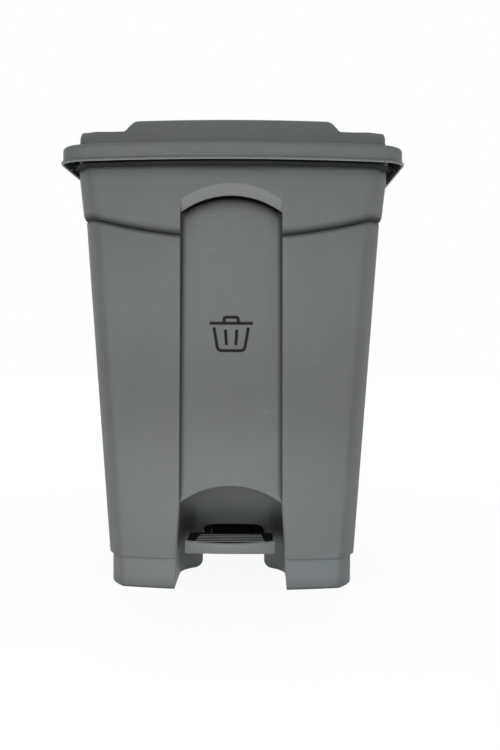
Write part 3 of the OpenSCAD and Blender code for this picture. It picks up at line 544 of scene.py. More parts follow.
# where a column of the tub stands at a height
# shape: half width, front, back, bow and corner radius of the outline; edge: half width of the panel
def columnAt(column, shape, edge, face, footWide, footDepths, roll, rollDepth, channel):
    kind, k, side = column
    half, front, back, bow, corner = shape
    flat = half - corner
    if kind in ("panel", "foot", "roll", "front"):
        if kind == "panel":
            x = k * (edge - footWide)
        elif kind == "foot":
            x = edge - footWide * tub["footShares"][k]
        elif kind == "roll":
            x = edge + roll * k
        else:
            x = lerp(edge + roll, flat, k)
        y = front + bow * (x / half) ** 2
        if kind == "panel":
            y = face(x, footDepths[0])
        elif kind == "foot":
            y = face(x, footDepths[k])
        elif kind == "roll":
            y += rollDepth * (1 - sqrt(1 - (1 - k) ** 2))
        return side * x, y
    cornerFront = front + bow + corner * body["cornerDeep"]
    if kind == "frontCorner":
        x, y = bowedCorner(flat, cornerFront, corner, -90 + 90 * k, half, bow, body["cornerDeep"],
                           body["cornerFlat"])
        return side * x, y
    if kind == "side":
        return side * half, lerp(cornerFront, back - corner, k)
    if kind == "backCorner":
        x, y = bowedCorner(flat, back - corner, corner, 90 * k, half, bow)
        return side * x, y
    wide, deep = channel
    edges = tub["channelEdge"]
    if kind == "back":
        return side * lerp(flat, wide + edges[0], k), back
    soft = min(edges[0], deep)
    if kind == "lip":
        return side * (wide + edges[k]), back - edges[2 - k] * soft / 2
    if kind == "well":
        return side * (wide - edges[2 - k]), back - deep + edges[k] * soft / 2
    return side * (wide - edges[0]) * (1 - k), back - deep


def tubShape(z, step, flare, grow):
    out = step * tub["collarStep"] - grow
    return (bodyHalf(z) + out + flare * (tub["collarFlare"] - tub["collarStep"]), bodyFront(z) - out,
            bodyBack(z) + out, body["bow"], body["corner"] - grow)


def tubRow(zAt, step, grow, band=None, footWide=None, sink=0):
    row = []
    fade = 1 if band is None else band / tub["bandDepth"]
    for column in columns:
        x, front = columnGuide[column]
        z = zAt(abs(x), front, column)
        flare = step * min(1, max(0, (z - tub["shoulder"]) / (overall["rim"] - tub["shoulder"])))
        shape = tubShape(z, step, flare, grow + sink)
        if band is None:
            face = panelFaceAt(z, grow)
        else:
            face = lambda x, depth: shape[1] + band + shape[3] * (x / shape[0]) ** 2
        point = columnAt(column, shape, panelEdgeAt(z, grow), face,
                         tub["foot"] if footWide is None else footWide, footDepthsAt(z),
                         lerp(tub["rollLow"], tub["rollHigh"], step),
                         tub["rollDepth"] * fade * lerp(1, tub["collarRoll"], step),
                         (tub["channelHalf"] + grow, tub["channelDeep"] + step * tub["collarStep"]))
        row.append((*point, z))
    return row


# x of each column near the shoulder, and whether it stands in the front half
columnGuide = {}
for column in columns:
    x, y = columnAt(column, tubShape(tub["shoulder"], 0, 0, 0), tub["panelHalf"],
                    lambda x, depth: body["front"], tub["foot"], (0, 0, 0), tub["rollLow"], 0,
                    (tub["channelHalf"], tub["channelDeep"]))
    columnGuide[column] = (x, y < 0)


def shoulderLine(x, front):
    dip = tub["shoulderDip"] * max(0, 1 - (x / tub["shoulderHalf"]) ** 2) if front else 0
    return tub["shoulder"] - dip


def archLine(x, front, grow, lift):    # the panel's arch, carried on round the collar
    if front and x <= tub["panelHalf"] + 0.01:
        return panelArchAt(x, grow) + lift
    away = min(1, (x - tub["panelHalf"]) / tub["lineRun"]) if front else 1
    return tub["archFoot"] - tub["archRise"] + grow + lift + tub["lineRise"] * away


def mouthLine(column, grow):
    kind, k, side = column
    if kind == "panel":
        return mouthArchAt(k * panelEdgeAt(tub["mouthSide"], grow), grow)
    return tub["mouthSide"]


def mouthCurve(half, z, startY, grow):    # the U of the pedal opening, without its two ends
    end = mouthEndAt(z, grow)
    bend = min(tub["mouthBend"] + grow, (end - startY) * tub["bendMost"])
    straight = [lerp(startY, end - bend, k / 3) for k in (1, 2, 3)]
    steps, square = tub["bendSteps"], tub["bendSquare"]
    turn = [180 - 180 * k / steps for k in range(1, steps)]
    arc = [(half * (1 if cos(radians(a)) > 0 else -1) * abs(cos(radians(a))) ** square,
            end - bend + bend * sin(radians(a)) ** square, z) for a in turn]
    return [(-half, y, z) for y in straight] + arc + [(half, y, z) for y in reversed(straight)]


def openLoop(z, shape, grow, roll, rollDepth, channel):    # outline with the pedal opening in it
    edge = panelEdgeAt(z, grow)
    depths = footDepthsAt(tub["mouthSide"])
    front, bow, half = shape[1], shape[3], shape[0] + grow - body["faceInset"]
    face = lambda x, depth: front + depth + bow * (x / half) ** 2
    points = [(*columnAt(column, shape, edge, face, 0, depths, roll, rollDepth, channel), z)
              for column in columns if column[0] != "panel"]
    return points + mouthCurve(edge, z, face(edge, depths[0]), grow)


def tubLoop(z, grow):
    return openLoop(z, tubShape(z, 0, 0, grow), grow, tub["rollLow"], tub["rollDepth"],
                    (tub["channelHalf"] + grow, tub["channelDeep"]))


def mouthDome(bm, grow):    # the vault over the pedal, from the sides of the opening up to its tip
    edge, steps = panelEdgeAt(tub["mouthSide"], grow), tub["domeRows"]
    rows = []
    for k in range(steps, 0, -1):
        z = mouthArchAt(edge * k / steps, grow)
        x = panelEdgeAt(z, grow) * k / steps
        y = panelPoint(x, z, grow)[1]
        rows.append([(-x, y, z)] + mouthCurve(x, z, y, grow) + [(x, y, z)])
    rows.append([panelPoint(0, mouthArchAt(0, grow), grow)] * len(rows[0]))
    loftRows(bm, rows, closed=False)


def tubUpperRows(grow):
    rows = [tubRow(lambda x, front, column: mouthLine(column, grow), 0, grow, footWide=0)]
    for k in tub["panelRows"]:
        rows.append(tubRow(lambda x, front, column: lerp(mouthLine(column, grow), shoulderLine(x, front), k),
                           0, grow, footWide=tub["foot"] * ease(k / tub["footGrows"])))
    for lift, out, sink in tub["shoulderEdge"]:
        rows.append(tubRow(lambda x, front, column: shoulderLine(x, front) + lift, out, grow, sink=sink))
    low = lambda x, front: shoulderLine(x, front) + tub["shoulderEdge"][-1][0]
    arch = lambda x, front, lift: archLine(x, front, grow, lift)
    for k in tub["collarRows"]:
        rows.append(tubRow(lambda x, front, column: lerp(low(x, front), arch(x, front, 0), k), 1, grow))
    rows.append(tubRow(lambda x, front, column: arch(x, front, 0), 1, grow))
    for share, higher, deepShare, deeper in tub["bandRows"]:
        lift, depth = tub["bandHeight"] * share + higher, tub["bandDepth"] * deepShare + deeper
        rows.append(tubRow(lambda x, front, column: arch(x, front, lift), 1, grow, band=depth))
    over, under = tub["bandHeight"] + tub["bandOver"], overall["rim"] - tub["rimThick"] - 1
    for k in (0,) + tub["crownRows"]:
        rows.append(tubRow(lambda x, front, column: lerp(arch(x, front, over), under, k), 1, grow, band=0))
    return rows


def rimRows():    # a thin flange, its edge turned a little down, set back in front
    top, lip = overall["rim"], tub["lipThick"]
    low, under = top - tub["lipDrop"], top - tub["rimThick"]
    rows = []
    # in from the flange's edge and height: under it, round its lip and up to its top
    for inset, z in ((lip + 1, under), (lip, under - 0.6), (lip - 0.4, low), (1.2, low), (0.7, low + 0.6),
                     (0.3, top - 0.9), (0.5, top - 0.3), (1, top)):
        front = tub["rimFront"] + tub["rimSetBack"] + inset
        shape = (tub["rimHalf"] - inset, front, tub["rimBack"] - inset, tub["rimBow"],
                 tub["rimCorner"] - inset)
        face = lambda x, depth: shape[1] + shape[3] * (x / shape[0]) ** 2
        rows.append([(*columnAt(column, shape, tub["panelHalf"], face, tub["foot"], (0, 0, 0),
                                tub["rollHigh"], 0, (tub["channelHalf"], 0)), z) for column in columns])
    return rows


def makeTub():
    bm = bmesh.new()
    wall, foot = overall["wall"], overall["plinth"]
    levels = (foot + tub["footEdge"],) + tub["lowLevels"] + (tub["mouthSide"],)
    # outer skin below the arch, from the hollow under the floor round the bottom edge
    made = loftRows(bm, [tubLoop(tub["floorTop"] - wall, wall), tubLoop(foot, wall), tubLoop(foot, 0)]
                    + [tubLoop(z, 0) for z in levels])
    cap(bm, made[0])
    # inner skin below the arch
    made = loftRows(bm, [tubLoop(z, wall) for z in (tub["floorTop"],) + levels[tub["innerFrom"]:]])
    cap(bm, made[0])
    # outer skin above it, the rim, and the inner skin back down
    inner = tubUpperRows(wall)
    top = [(x, y, overall["rim"]) for x, y, z in inner[-1]]
    loftRows(bm, tubUpperRows(0) + rimRows() + [top] + inner[::-1])
    for grow in (0, wall):
        mouthDome(bm, grow)
    faceOut(bm, merge=tub["merge"])
    return bm


# boxes cut from the back: half width, reach in y and reach in z
tubCuts = {"channel": (tub["channelHalf"], (154.45, 186.0), (602.0, 613.0)),
           "hinge": (23.3, (172.2, 186.0), (571.0, 613.0)), "tail": (25.8, (125.4, 186.0), (43.0, 86.8)),
           "hingeX": 120.0}


def cutTub(bm):
    cutter = bmesh.new()
    slotCutter(cutter)
    boxCutter(cutter, *tubCuts["channel"])    # the channel comes through the rim
    for side in (-1, 1):
        boxCutter(cutter, *tubCuts["hinge"], x=side * tubCuts["hingeX"])    # hinge blocks
    boxCutter(cutter, *tubCuts["tail"])    # way out for the pedal's tail
    return carve(bm, cutter)


def slotCutter(cutter):    # rounded at the top, flared out at the floor
    half, top, corner, foot = tub["slotHalf"], tub["slotTop"], tub["slotCorner"], tub["slotFoot"]
    angles = [radians(a) for a in range(0, 91, 10)]
    right = [(half + foot, tub["slotLow"])]
    right += [(half + foot * (1 - cos(a)), foot * (1 - sin(a))) for a in reversed(angles)]
    right += [(half - corner * (1 - cos(a)), top - corner * (1 - sin(a))) for a in angles]
    outline = right + [(-x, z) for x, z in reversed(right)]
    loftSolid(cutter, [[(x, y, z) for x, z in outline] for y in tub["slotReach"]])
    faceOut(cutter)


# where shade and light are painted on the tub: heights, distances and how much of each
tubShadeAndLight = {
    "beltHeight": 285, "beltSpread": 95, "beltGloom": 0.22, "beltFront": -110, "beltFade": 50,
    "seamWide": 0.5, "seamGloom": 0.5,
    "rimFrom": 600, "rimFade": 7, "rimTo": 0.4, "rimGloom": 0.8, "flangeOut": 3, "flangeGloom": 0.97,
    "edgeWide": 1.3, "edgeFrom": 217, "edgeSide": (0.2, 0.12), "edgeFront": (0.85, 0),
    "stepLow": 7, "stepHigh": 12, "stepTurn": -0.8, "stepFade": 6, "stepUnder": 0.6, "stepOver": 0.85,
    "stepClear": 1, "insideLow": 50, "insideHigh": 160, "insideClear": 30, "insideBack": 30,
    "insideGloom": (0.4, 0.85), "insideSpread": (28, 45), "insideMiddle": 76, "insideFrom": 50,
    "insideFade": 15, "insideWear": 0.17, "wearFrom": 90, "wearFade": 50,
    "panelFront": -100, "archLow": 40, "archGloom": 0.97, "archFlat": 4, "archFade": 7,
    "grooveIn": 0.6, "grooveWide": 1, "grooveGloom": 0.65, "bandWear": 0.22, "bandClear": (0.3, 0.6)}


def tubMarks(x, y, z):
    painted, wear = tubShadeAndLight, 0.0
    # painted shade in a belt half way up the front
    gloom = painted["beltGloom"] * exp(-((z - painted["beltHeight"]) / painted["beltSpread"]) ** 2)
    gloom *= ease((painted["beltFront"] - y) / painted["beltFade"])
    # painted shade at the tub's foot, where it meets the plinth
    if z < overall["plinth"] + painted["seamWide"]:
        gloom = painted["seamGloom"]
    # painted shade under the flange and on its outer edge in front; towards the sides the edge gets light
    # painted shade and a painted highlight
    if painted["rimFrom"] < z < overall["rim"] - painted["rimTo"]:
        outside = max(x - bodyHalf(z), bodyFront(z) - y)
        gloom = painted["rimGloom"] * ease((z - painted["rimFrom"]) / painted["rimFade"])
        if outside > painted["flangeOut"]:
            gloom = painted["flangeGloom"]
        if depthIn(x, y, tub["rimHalf"], tub["rimFront"] + tub["rimSetBack"], tub["rimBow"],
                   tub["rimCorner"]) < painted["edgeWide"]:
            gloom, wear = painted["edgeSide"] if x > painted["edgeFrom"] else painted["edgeFront"]
    # painted shade in and around the groove under the collar
    lift = z - shoulderLine(x, y < 0)
    if -painted["stepLow"] < lift < painted["stepHigh"] and (x > tub["panelHalf"] + painted["stepClear"] or y > 0):
        under = painted["stepUnder"] * ease((lift + painted["stepLow"]) / painted["stepFade"])
        over = painted["stepOver"] * (1 - ease(lift / painted["stepHigh"]))
        gloom = max(gloom, under if lift < painted["stepTurn"] else over)
    # inside the pedal opening: painted shadow of the pedal on its walls, and painted light higher up
    if (painted["insideLow"] < z < painted["insideHigh"] and x < panelEdgeAt(z, 0) + 0.5
            and bodyFront(z) + painted["insideClear"] < y < painted["insideBack"]):
        aside = ease((x - painted["insideFrom"]) / painted["insideFade"])
        fade = abs(z - painted["insideMiddle"]) / lerp(*painted["insideSpread"], aside)
        gloom = lerp(*painted["insideGloom"], aside) * max(0, 1 - fade)
        wear = painted["insideWear"] * ease((z - painted["wearFrom"]) / painted["wearFade"])
    # the panel: painted shadow under its arch, painted shade along its side edges, and a painted highlight on
    # the band over the arch
    if y < painted["panelFront"] and z > tub["mouthSide"]:
        below = panelArchAt(x, 0) - z
        if x < tub["panelHalf"] and -0.5 < below < painted["archLow"]:
            shade = exp(-max(0, below - painted["archFlat"]) / painted["archFade"])
            gloom = max(gloom, painted["archGloom"] * shade)
        if below > 0 and abs(x - panelEdgeAt(z, 0) + painted["grooveIn"]) < painted["grooveWide"]:
            gloom = painted["grooveGloom"]
        over, foot = painted["bandClear"]
        if x <= tub["panelHalf"] and -tub["bandHeight"] - over < below < -foot:
            wear = painted["bandWear"]
    return gloom, wear


# the printed sign on the panel
sign = {"low": 349.0, "high": 382.0, "lowHalf": 19.0, "highHalf": 24.5, "round": 6.0, "lidHalf": 31.0,
        "lidLine": 388.0, "knob": 10.0, "knobTop": 396.5, "knobFoot": 1.0, "knobRound": 3.0,
        "bar": (8.0, 7.3, 6.6), "barTop": 3.0, "barFoot": 8.0, "stroke": 4.2, "proud": 0.35, "sunk": 0.4,
        "merge": 0.005}


def stroke(bm, points):    # a thin printed line along points given as x and height
    half, proud, sunk = sign["stroke"] / 2, sign["proud"], sign["sunk"]
    rows = []
    for i, (x, z) in enumerate(points):
        before, after = points[max(i - 1, 0)], points[min(i + 1, len(points) - 1)]
        along = Vector((after[0] - before[0], after[1] - before[1])).normalized()
        rows.append([panelPoint(x - along.y * across, z + along.x * across, 0, lift) for across, lift in
                     ((half, proud), (-half, proud), (-half, -sunk), (half, -sunk))])
    loftSolid(bm, rows)


def roundedPath(corners, radius):    # straight runs joined by arcs
    path = [corners[0]]
    for before, corner, after in zip(corners, corners[1:], corners[2:]):
        here = Vector(corner)
        a = (Vector(before) - here).normalized() * radius
        b = (Vector(after) - here).normalized() * radius
        path += [tuple(here + a * (1 - t) ** 2 + b * t ** 2) for t in (0, 0.2, 0.4, 0.6, 0.8, 1)]
    return path + [corners[-1]]


def makeSign():    # a lidded bucket
    bm = bmesh.new()
    low, high, a, b = sign["low"], sign["high"], sign["lowHalf"], sign["highHalf"]
    line, knob, top = sign["lidLine"], sign["knob"], sign["knobTop"]
    stroke(bm, roundedPath([(-b, high), (-a, low), (a, low), (b, high)], sign["round"]))
    stroke(bm, [(x, line) for x in (-sign["lidHalf"], 0, sign["lidHalf"])])
    foot = line + sign["knobFoot"]
    stroke(bm, roundedPath([(-knob, foot), (-knob, top), (knob, top), (knob, foot)], sign["knobRound"]))
    heights = (high - sign["barTop"], (low + high) / 2, low + sign["barFoot"])
    for side in (-1, 1):
        stroke(bm, [(side * x, z) for x, z in zip(sign["bar"], heights)])
    bmesh.ops.remove_doubles(bm, verts=bm.verts, dist=sign["merge"])
    return bm


plinth = {"half": 178.0, "front": -149.0, "back": 148.4, "corner": 20.0, "cornerLeast": 6.0, "toe": 5.0,
          "wall": 3.0, "deck": 3.0, "roll": 1.6, "rollDepth": 1.0, "rows": (22.0, 34.0),
          # room behind the axle; for the axle, half width, before and behind, and down; the sill at the back
          "tailRoom": 24.0, "axleRoom": (72.0, 14.0, 12.0), "sill": 20.0, "sillFront": 20.0,
          "sillBack": 160.0, "screwX": 140.0, "screwY": (-110.0, 120.0), "boss": 7.0, "bore": 4.0,
          "boreTop": 30.0, "bossFoot": 2.0, "bossSides": 28, "merge": 0.02}
axle = (37.42, 52.0)    # y and z of the pedal's axle


def plinthLoop(z, inset, grow):
    shape = (plinth["half"] - inset, plinth["front"] + inset, plinth["back"] - inset, body["bow"],
             max(plinth["cornerLeast"], plinth["corner"] - inset))
    return openLoop(z, shape, grow, plinth["roll"], plinth["rollDepth"], (tub["channelHalf"], 0))


def plinthCutter():    # the pedal's slot, and room for its tail and its axle
    cutter = bmesh.new()
    slotCutter(cutter)
    top, y = overall["plinth"], axle[0]
    half, ahead, deep = plinth["axleRoom"]
    boxCutter(cutter, tub["slotHalf"], (tub["mouthBack"], y + plinth["tailRoom"]), (-1, top + 1))
    boxCutter(cutter, half, (y - ahead, y + ahead), (top - deep, top + 1.5))
    boxCutter(cutter, tub["channelHalf"], (y + plinth["sillFront"], plinth["sillBack"]),
              (plinth["sill"], top + 2))
    return cutter


def screwBoss(x, y):    # a tube under the deck, softened at its foot
    boss = bmesh.new()
    outer, inner, foot, sides = plinth["boss"], plinth["bore"], plinth["bossFoot"], plinth["bossSides"]
    profile = ((inner, plinth["boreTop"]), (inner, foot + 0.5), (inner + 0.5, foot), (outer - 0.4, foot),
               (outer, foot + 0.4), (outer, overall["plinth"] - plinth["deck"] + 1))
    loftSolid(boss, [[(x + r * cos(2 * pi * k / sides), y + r * sin(2 * pi * k / sides), z)
                      for k in range(sides)] for r, z in profile])
    faceOut(boss)
    return boss


def makePlinth():
    bm = bmesh.new()
    toe, wall, top = plinth["toe"], plinth["wall"], overall["plinth"]
    hollow = [plinthLoop(z, inset, wall) for z, inset in
              ((top - plinth["deck"], wall), (toe + 1, wall), (toe * 0.6, wall + 1), (0, toe + wall))]
    turn = [(toe * (1 - cos(radians(a))), toe * (1 - sin(radians(a)))) for a in range(0, 91, 15)]
    outside = [plinthLoop(z, inset, 0) for z, inset in turn + [(z, 0) for z in plinth["rows"] + (top,)]]
    loftSolid(bm, hollow + outside)
    faceOut(bm, merge=plinth["merge"])
    bm = carve(bm, plinthCutter())
    for side in (-1, 1):
        for y in plinth["screwY"]:
            joinInto(bm, screwBoss(side * plinth["screwX"], y))
    return bm


lid = {
    "edge": 612.5, "foot": 640.0, "step": 658.7, "top": 676.0, "half": 245.0, "front": -205.0, "back": 184.0,
    "bow": 31.0, "corner": 32.0, "cornerLeast": 8.0, "cornerShare": 0.6, "wall": 3.0, "merge": 0.01,
    # the broad step stands in from the edge by these, and the raised middle slopes up from it
    "ledgeWide": 26.0, "ledgeFront": 21.0, "ledgeBack": 16.0, "frontSlope": 1.45, "sideRound": 5.5,
    "sideCurve": 2.6, "topCorner": 12.0, "topCornerLeast": 7.0, "topCornerShare": 0.3,
    "raisedHalf": 152.0, "raisedBack": 161.0, "raisedSlope": 1.32, "soft": 2.4, "softTop": 8.0, "dome": 0.3,
    # the step rises a little towards its ends
    "crestRise": 2.4, "crestFrom": 165.0, "crestRun": 52.0, "crestCurve": 1.6, "crestIn": 8.0,
    "slopeFrom": 134.0, "slopeWide": 22.0, "spacing": 160.0,
    # rows of the skirt, as height and how far in, from the inside up and from the lip up
    "inside": ((633.4, 19), (632.6, 12), (632, 7), (631, 3.4), (629, 1.2), (627, 0.3), (620, 0), (613, 0.2)),
    "skirt": ((612.5, 2.6), (612.5, 0.6), (612.9, 0), (614, -0.3), (615.4, -0.2), (616.4, 0.8), (617.6, 2.1),
              (621, 2.6), (626, 2.5), (631, 2.6), (633.2, 3.0), (634.8, 3.8), (636, 5.1), (636.8, 6.6),
              (637.4, 8.4), (638, 11), (638.6, 15), (639, 18), (639.3, 20)),
    "notch": (6.0, (179.5, 186.0), (611.0, 621.5)),
}
lidRib = {"half": 216.8, "front": -177.8, "back": 165.8, "corner": 20.8, "low": 603.0, "high": 633.8,
          "thick": 2.5, "soft": 0.8, "softIn": 0.4, "merge": 0.01,
          "gap": (36.2, (145.0, 167.8), (600.0, 617.0))}


def softMin(a, b, k):
    h = max(k - abs(a - b), 0) / k
    return min(a, b) - h * h * k / 4


def softMax(a, b, k):
    return -softMin(-a, -b, k)


# x of the lid's front and back columns, close together over the sides of the raised middle
slopeTo = lid["slopeFrom"] + lid["slopeWide"]
lidXs = ([lid["slopeFrom"] * k / 14 for k in range(15)]
         + [lid["slopeFrom"] + lid["slopeWide"] * k / 14 for k in range(1, 15)])
lidHalf = ([("front", x) for x in lidXs] + [("frontOut", k / 7) for k in range(1, 7)]
           + [("frontCorner", k / 10) for k in range(11)] + [("side", k / 14) for k in range(1, 14)]
           + [("backCorner", k / 10) for k in range(11)] + [("backOut", k / 7) for k in range(1, 7)]
           + [("back", x) for x in reversed(lidXs)])
lidColumns = [(kind, k, 1) for kind, k in lidHalf] + [(kind, k, -1) for kind, k in reversed(lidHalf[1:-1])]


def lidPoint(column, half, front, back, bow, corner):
    kind, k, side = column
    flat = half - corner
    fit = min(1, flat / lid["spacing"])
    if kind in ("front", "frontOut", "back", "backOut"):
        if kind in ("front", "back"):
            x = k * fit
        elif kind == "frontOut":
            x = lerp(slopeTo * fit, flat, k)
        else:
            x = lerp(flat, slopeTo * fit, k)
        return side * x, (front + bow * (x / half) ** 2 if kind.startswith("front") else back)
    if kind == "side":
        return side * half, lerp(front + bow + corner, back - corner, k)
    angle = -90 + 90 * k if kind == "frontCorner" else 90 * k
    y0 = front + bow + corner if kind == "frontCorner" else back - corner
    x, y = bowedCorner(flat, y0, corner, angle, half, bow)
    return side * x, y


def lidRing(z, inset, grow):
    half = lid["half"] - inset + grow
    back = lid["back"] - inset * lid["ledgeBack"] / lid["ledgeWide"] + grow
    corner = max(lid["cornerLeast"], lid["corner"] - inset * lid["cornerShare"] + min(grow, 0))
    shape = (half, lid["front"] + inset - grow, back, lid["bow"] * (half / lid["half"]) ** 2, corner)
    return [(*lidPoint(column, *shape), z) for column in lidColumns]


def lidTopRing(inset, grow):    # a ring of the lid's upper faces, this far in from the foot of the broad step
    half = lid["half"] - lid["ledgeWide"] + grow - inset
    front = lid["front"] + lid["ledgeFront"] - grow
    corner = max(lid["topCornerLeast"],
                 lid["corner"] - lid["topCorner"] + grow - inset * lid["topCornerShare"])
    shape = (half, front + inset, lid["back"] - lid["ledgeBack"] + grow - inset,
             lid["bow"] * (half / lid["half"]) ** 2, corner)
    foot, soft, curve, ring = lid["foot"], lid["soft"], lid["sideCurve"], []
    rise = lid["step"] - foot
    rounded = rise * (1 - max(0.0, 1 - inset / lid["sideRound"]) ** curve) ** (1 / curve)
    for column in lidColumns:
        x, y = lidPoint(column, *shape)
        kind, k, side = column
        facing = {"front": 1, "frontOut": 1, "frontCorner": 1 - k}.get(kind, 0)
        step = foot + lerp(rounded, softMin(inset * lid["frontSlope"], rise, soft), ease(facing))
        crest = (max(0, abs(x) - lid["crestFrom"]) / lid["crestRun"]) ** lid["crestCurve"]
        step += lid["crestRise"] * crest * min(1, inset / lid["crestIn"])
        ahead = y - front - lid["bow"] * (x / lid["half"]) ** 2
        aside, behind = lid["raisedHalf"] + grow - abs(x), lid["raisedBack"] + grow - y
        raised = softMin(foot + ahead * lid["frontSlope"], lid["step"] + aside * lid["raisedSlope"], soft)
        raised = softMin(raised, lid["step"] + behind * lid["raisedSlope"], soft)
        raised = softMin(raised, lid["top"] - lid["dome"] * (x / lid["raisedHalf"]) ** 2, lid["softTop"])
        z = softMax(step, raised, soft) if inset > 0.5 else foot
        ring.append((x, y, z + grow))
    return ring


# how far in each ring of the top is, closest together where the step and the raised middle turn over
lidInsets = ([0, 0.7, 1.5, 2.5, 3.5, 4.5, 5.5, 6.5, 7.2, 8, 9, 10, 11.5, 13, 14.5, 15.5, 16.5, 17.5, 18.5,
              19.5, 20.5, 22, 24, 27, 30, 32.5, 34, 35, 36, 37, 38, 39.5, 42, 46, 52, 58, 62, 64, 65.5]
             + [66.5 + 1.1 * k for k in range(16)] + [85, 92, 110, 130, 150])


def makeRib():    # the ring under the lid that goes into the rim, open at the back for the lever
    rib = bmesh.new()
    low, high, thick, soft, softIn = (lidRib[key] for key in ("low", "high", "thick", "soft", "softIn"))
    profile = ((0, low), (0, high), (-thick, high), (-thick, low), (softIn - thick, low - soft),
               (-softIn, low - soft), (0, low))
    loftRows(rib, [[(*lidPoint(column, lidRib["half"] + grow, lidRib["front"] - grow, lidRib["back"] + grow,
                               body["bow"], lidRib["corner"]), z) for column in lidColumns]
                   for grow, z in profile])
    faceOut(rib, merge=lid["merge"])
    gap = bmesh.new()
    boxCutter(gap, *lidRib["gap"])
    return carve(rib, gap)


def makeLid():
    bm = bmesh.new()
    wall = -lid["wall"]
    inner = [lidTopRing(inset, wall) for inset in reversed(lidInsets)]
    inner += [lidRing(z, inset, wall) for z, inset in lid["inside"]]
    outer = [lidRing(z, inset, 0) for z, inset in lid["skirt"]]
    outer += [lidTopRing(inset, 0) for inset in lidInsets]
    loftSolid(bm, inner + outer)
    faceOut(bm, merge=lid["merge"])
    notch = bmesh.new()
    boxCutter(notch, *lid["notch"])
    bm = carve(bm, notch)
    joinInto(bm, makeRib())
    return bm


# painted shade in the hollow inside the skirt's edge, and a painted highlight along its lip
lidShadeAndLight = {"below": 625, "before": 120, "hollowIn": 3.4, "hollowGloom": 0.85, "lipTop": 613.5, "lipWear": 0.4}


def lidMarks(x, y, z):
    if z > lidShadeAndLight["below"] or y > lidShadeAndLight["before"]:
        return 0, 0
    if depthIn(x, y, lid["half"], lid["front"], lid["bow"], lid["corner"]) > lidShadeAndLight["hollowIn"]:
        return lidShadeAndLight["hollowGloom"], 0
    return 0, lidShadeAndLight["lipWear"] if z < lidShadeAndLight["lipTop"] else 0


pedal = {"half": 64.0, "front": -193.0, "bow": 19.0, "back": -113.0, "corner": 8.0, "top": 79.0,
         "edge": 15.0, "edgeEnds": 3.6, "edgeWall": 2.6, "thick": 3.0, "frontSteps": 32,
         "noseAngles": (20, 50, 90), "noseWide": 2.2, "noseDeep": 2.4, "noseAhead": 0.9, "cheek": 4.0,
         "sideEdge": 7.0, "sideFrom": -166.0, "sideRun": 14.0, "notch": 7.0,
         # the five ribs on the tread
         "ribs": 5, "ribRadius": 1.2, "ribFirst": 12.0, "ribPitch": 11.2, "ribHalf": 50.0, "ribShorter": 1.2,
         "ribSink": 0.4, "ribSoft": 0.8, "ribSides": 20,
         # the two arms, the hub on the axle and the tail behind it
         "armSpan": 78.0, "armThick": 9.0, "armEnd": 7.0, "armIn": 12.0, "rootHeight": 69.0,
         "neckHeight": 65.0, "hub": 9.0, "hubHalf": 49.0, "sleeve": 12.4, "sleeveLong": 66.0,
         "lowPin": (155.886, 32.859), "tailThick": 12.0, "barSoft": 1.2, "hubSides": 48}


def rod(bm, at, radius, length, segments):    # a rod along x, centred on a point
    bmesh.ops.create_cone(bm, cap_ends=True, segments=segments, radius1=radius, radius2=radius, depth=length,
                          matrix=Matrix.Translation(at) @ Matrix.Rotation(pi / 2, 4, "Y"))


def treadOutline(inset):
    half, front, back = pedal["half"] - inset, pedal["front"] + inset, pedal["back"] - inset
    bow, corner, steps = pedal["bow"], pedal["corner"], pedal["frontSteps"]
    side = front + bow
    noses = [(half - pedal["noseWide"] * (1 - sin(radians(a))),
              side + pedal["noseDeep"] * (1 - cos(radians(a))) - pedal["noseAhead"])
             for a in pedal["noseAngles"]]
    cheeks = [(half, lerp(side + pedal["cheek"], back - corner, k / 4)) for k in range(1, 4)]
    corners = [(half - corner + corner * cos(radians(a)), back - corner + corner * sin(radians(a)))
               for a in range(0, 91, 15)]
    right = noses + cheeks + corners
    span = pedal["armSpan"] / 2
    points = [(half * (2 * k / steps - 1), front + bow * (2 * k / steps - 1) ** 2) for k in range(1, steps)]
    points += right
    points += [(span * t, back - pedal["notch"] * (1 - t * t)) for t in [1 - k / 8 for k in range(17)]]
    points += [(-x, y) for x, y in reversed(right)]
    return points


def bar(bm, a, ra, b, rb, x, thick):    # rounded bar in the plane of y and z, with its own radius at each end
    length = hypot(b[0] - a[0], b[1] - a[1])
    angle = atan2(b[1] - a[1], b[0] - a[0])
    lean = asin((ra - rb) / length)
    points = []
    for (y, z), radius, start, turn in ((a, ra, angle + pi / 2 - lean, pi + 2 * lean),
                                        (b, rb, angle - pi / 2 - lean, pi - 2 * lean)):
        points += [(y + radius * cos(start + turn * k / 16), z + radius * sin(start + turn * k / 16))
                   for k in range(17)]
    near, far = ([(x + side * thick / 2, y, z) for y, z in points] for side in (-1, 1))
    row = firstRow(bm, near)
    cap(bm, row)
    last = nextRow(bm, row, far)
    cap(bm, last)
    roundEdges(bm, rowEdges(bm, row) + rowEdges(bm, last), pedal["barSoft"], 3)


def treadRing(inset, z=None, lift=0.0):    # without a height it follows the bottom of the edge
    row, top, end = [], pedal["top"], pedal["top"] - pedal["sideEdge"]
    for x, y in treadOutline(inset):
        low = top - pedal["edge"] - pedal["edgeEnds"] * min(1, x / pedal["half"]) ** 2
        low += (end - low) * ease((y - pedal["sideFrom"]) / pedal["sideRun"])
        row.append((x, y, low + lift if z is None else z))
    return row


def addTreadRibs(bm):
    for k in range(pedal["ribs"]):
        tool = bmesh.new()
        half = pedal["ribHalf"] - pedal["ribShorter"] * k
        at = (0, pedal["front"] + pedal["ribFirst"] + k * pedal["ribPitch"], pedal["top"] - pedal["ribSink"])
        rod(tool, at, pedal["ribRadius"], 2 * half, pedal["ribSides"])
        ends = [e for e in tool.edges if len({round(v.co.x, 3) for v in e.verts}) == 1]
        roundEdges(tool, ends, pedal["ribSoft"], 4)
        joinInto(bm, tool)


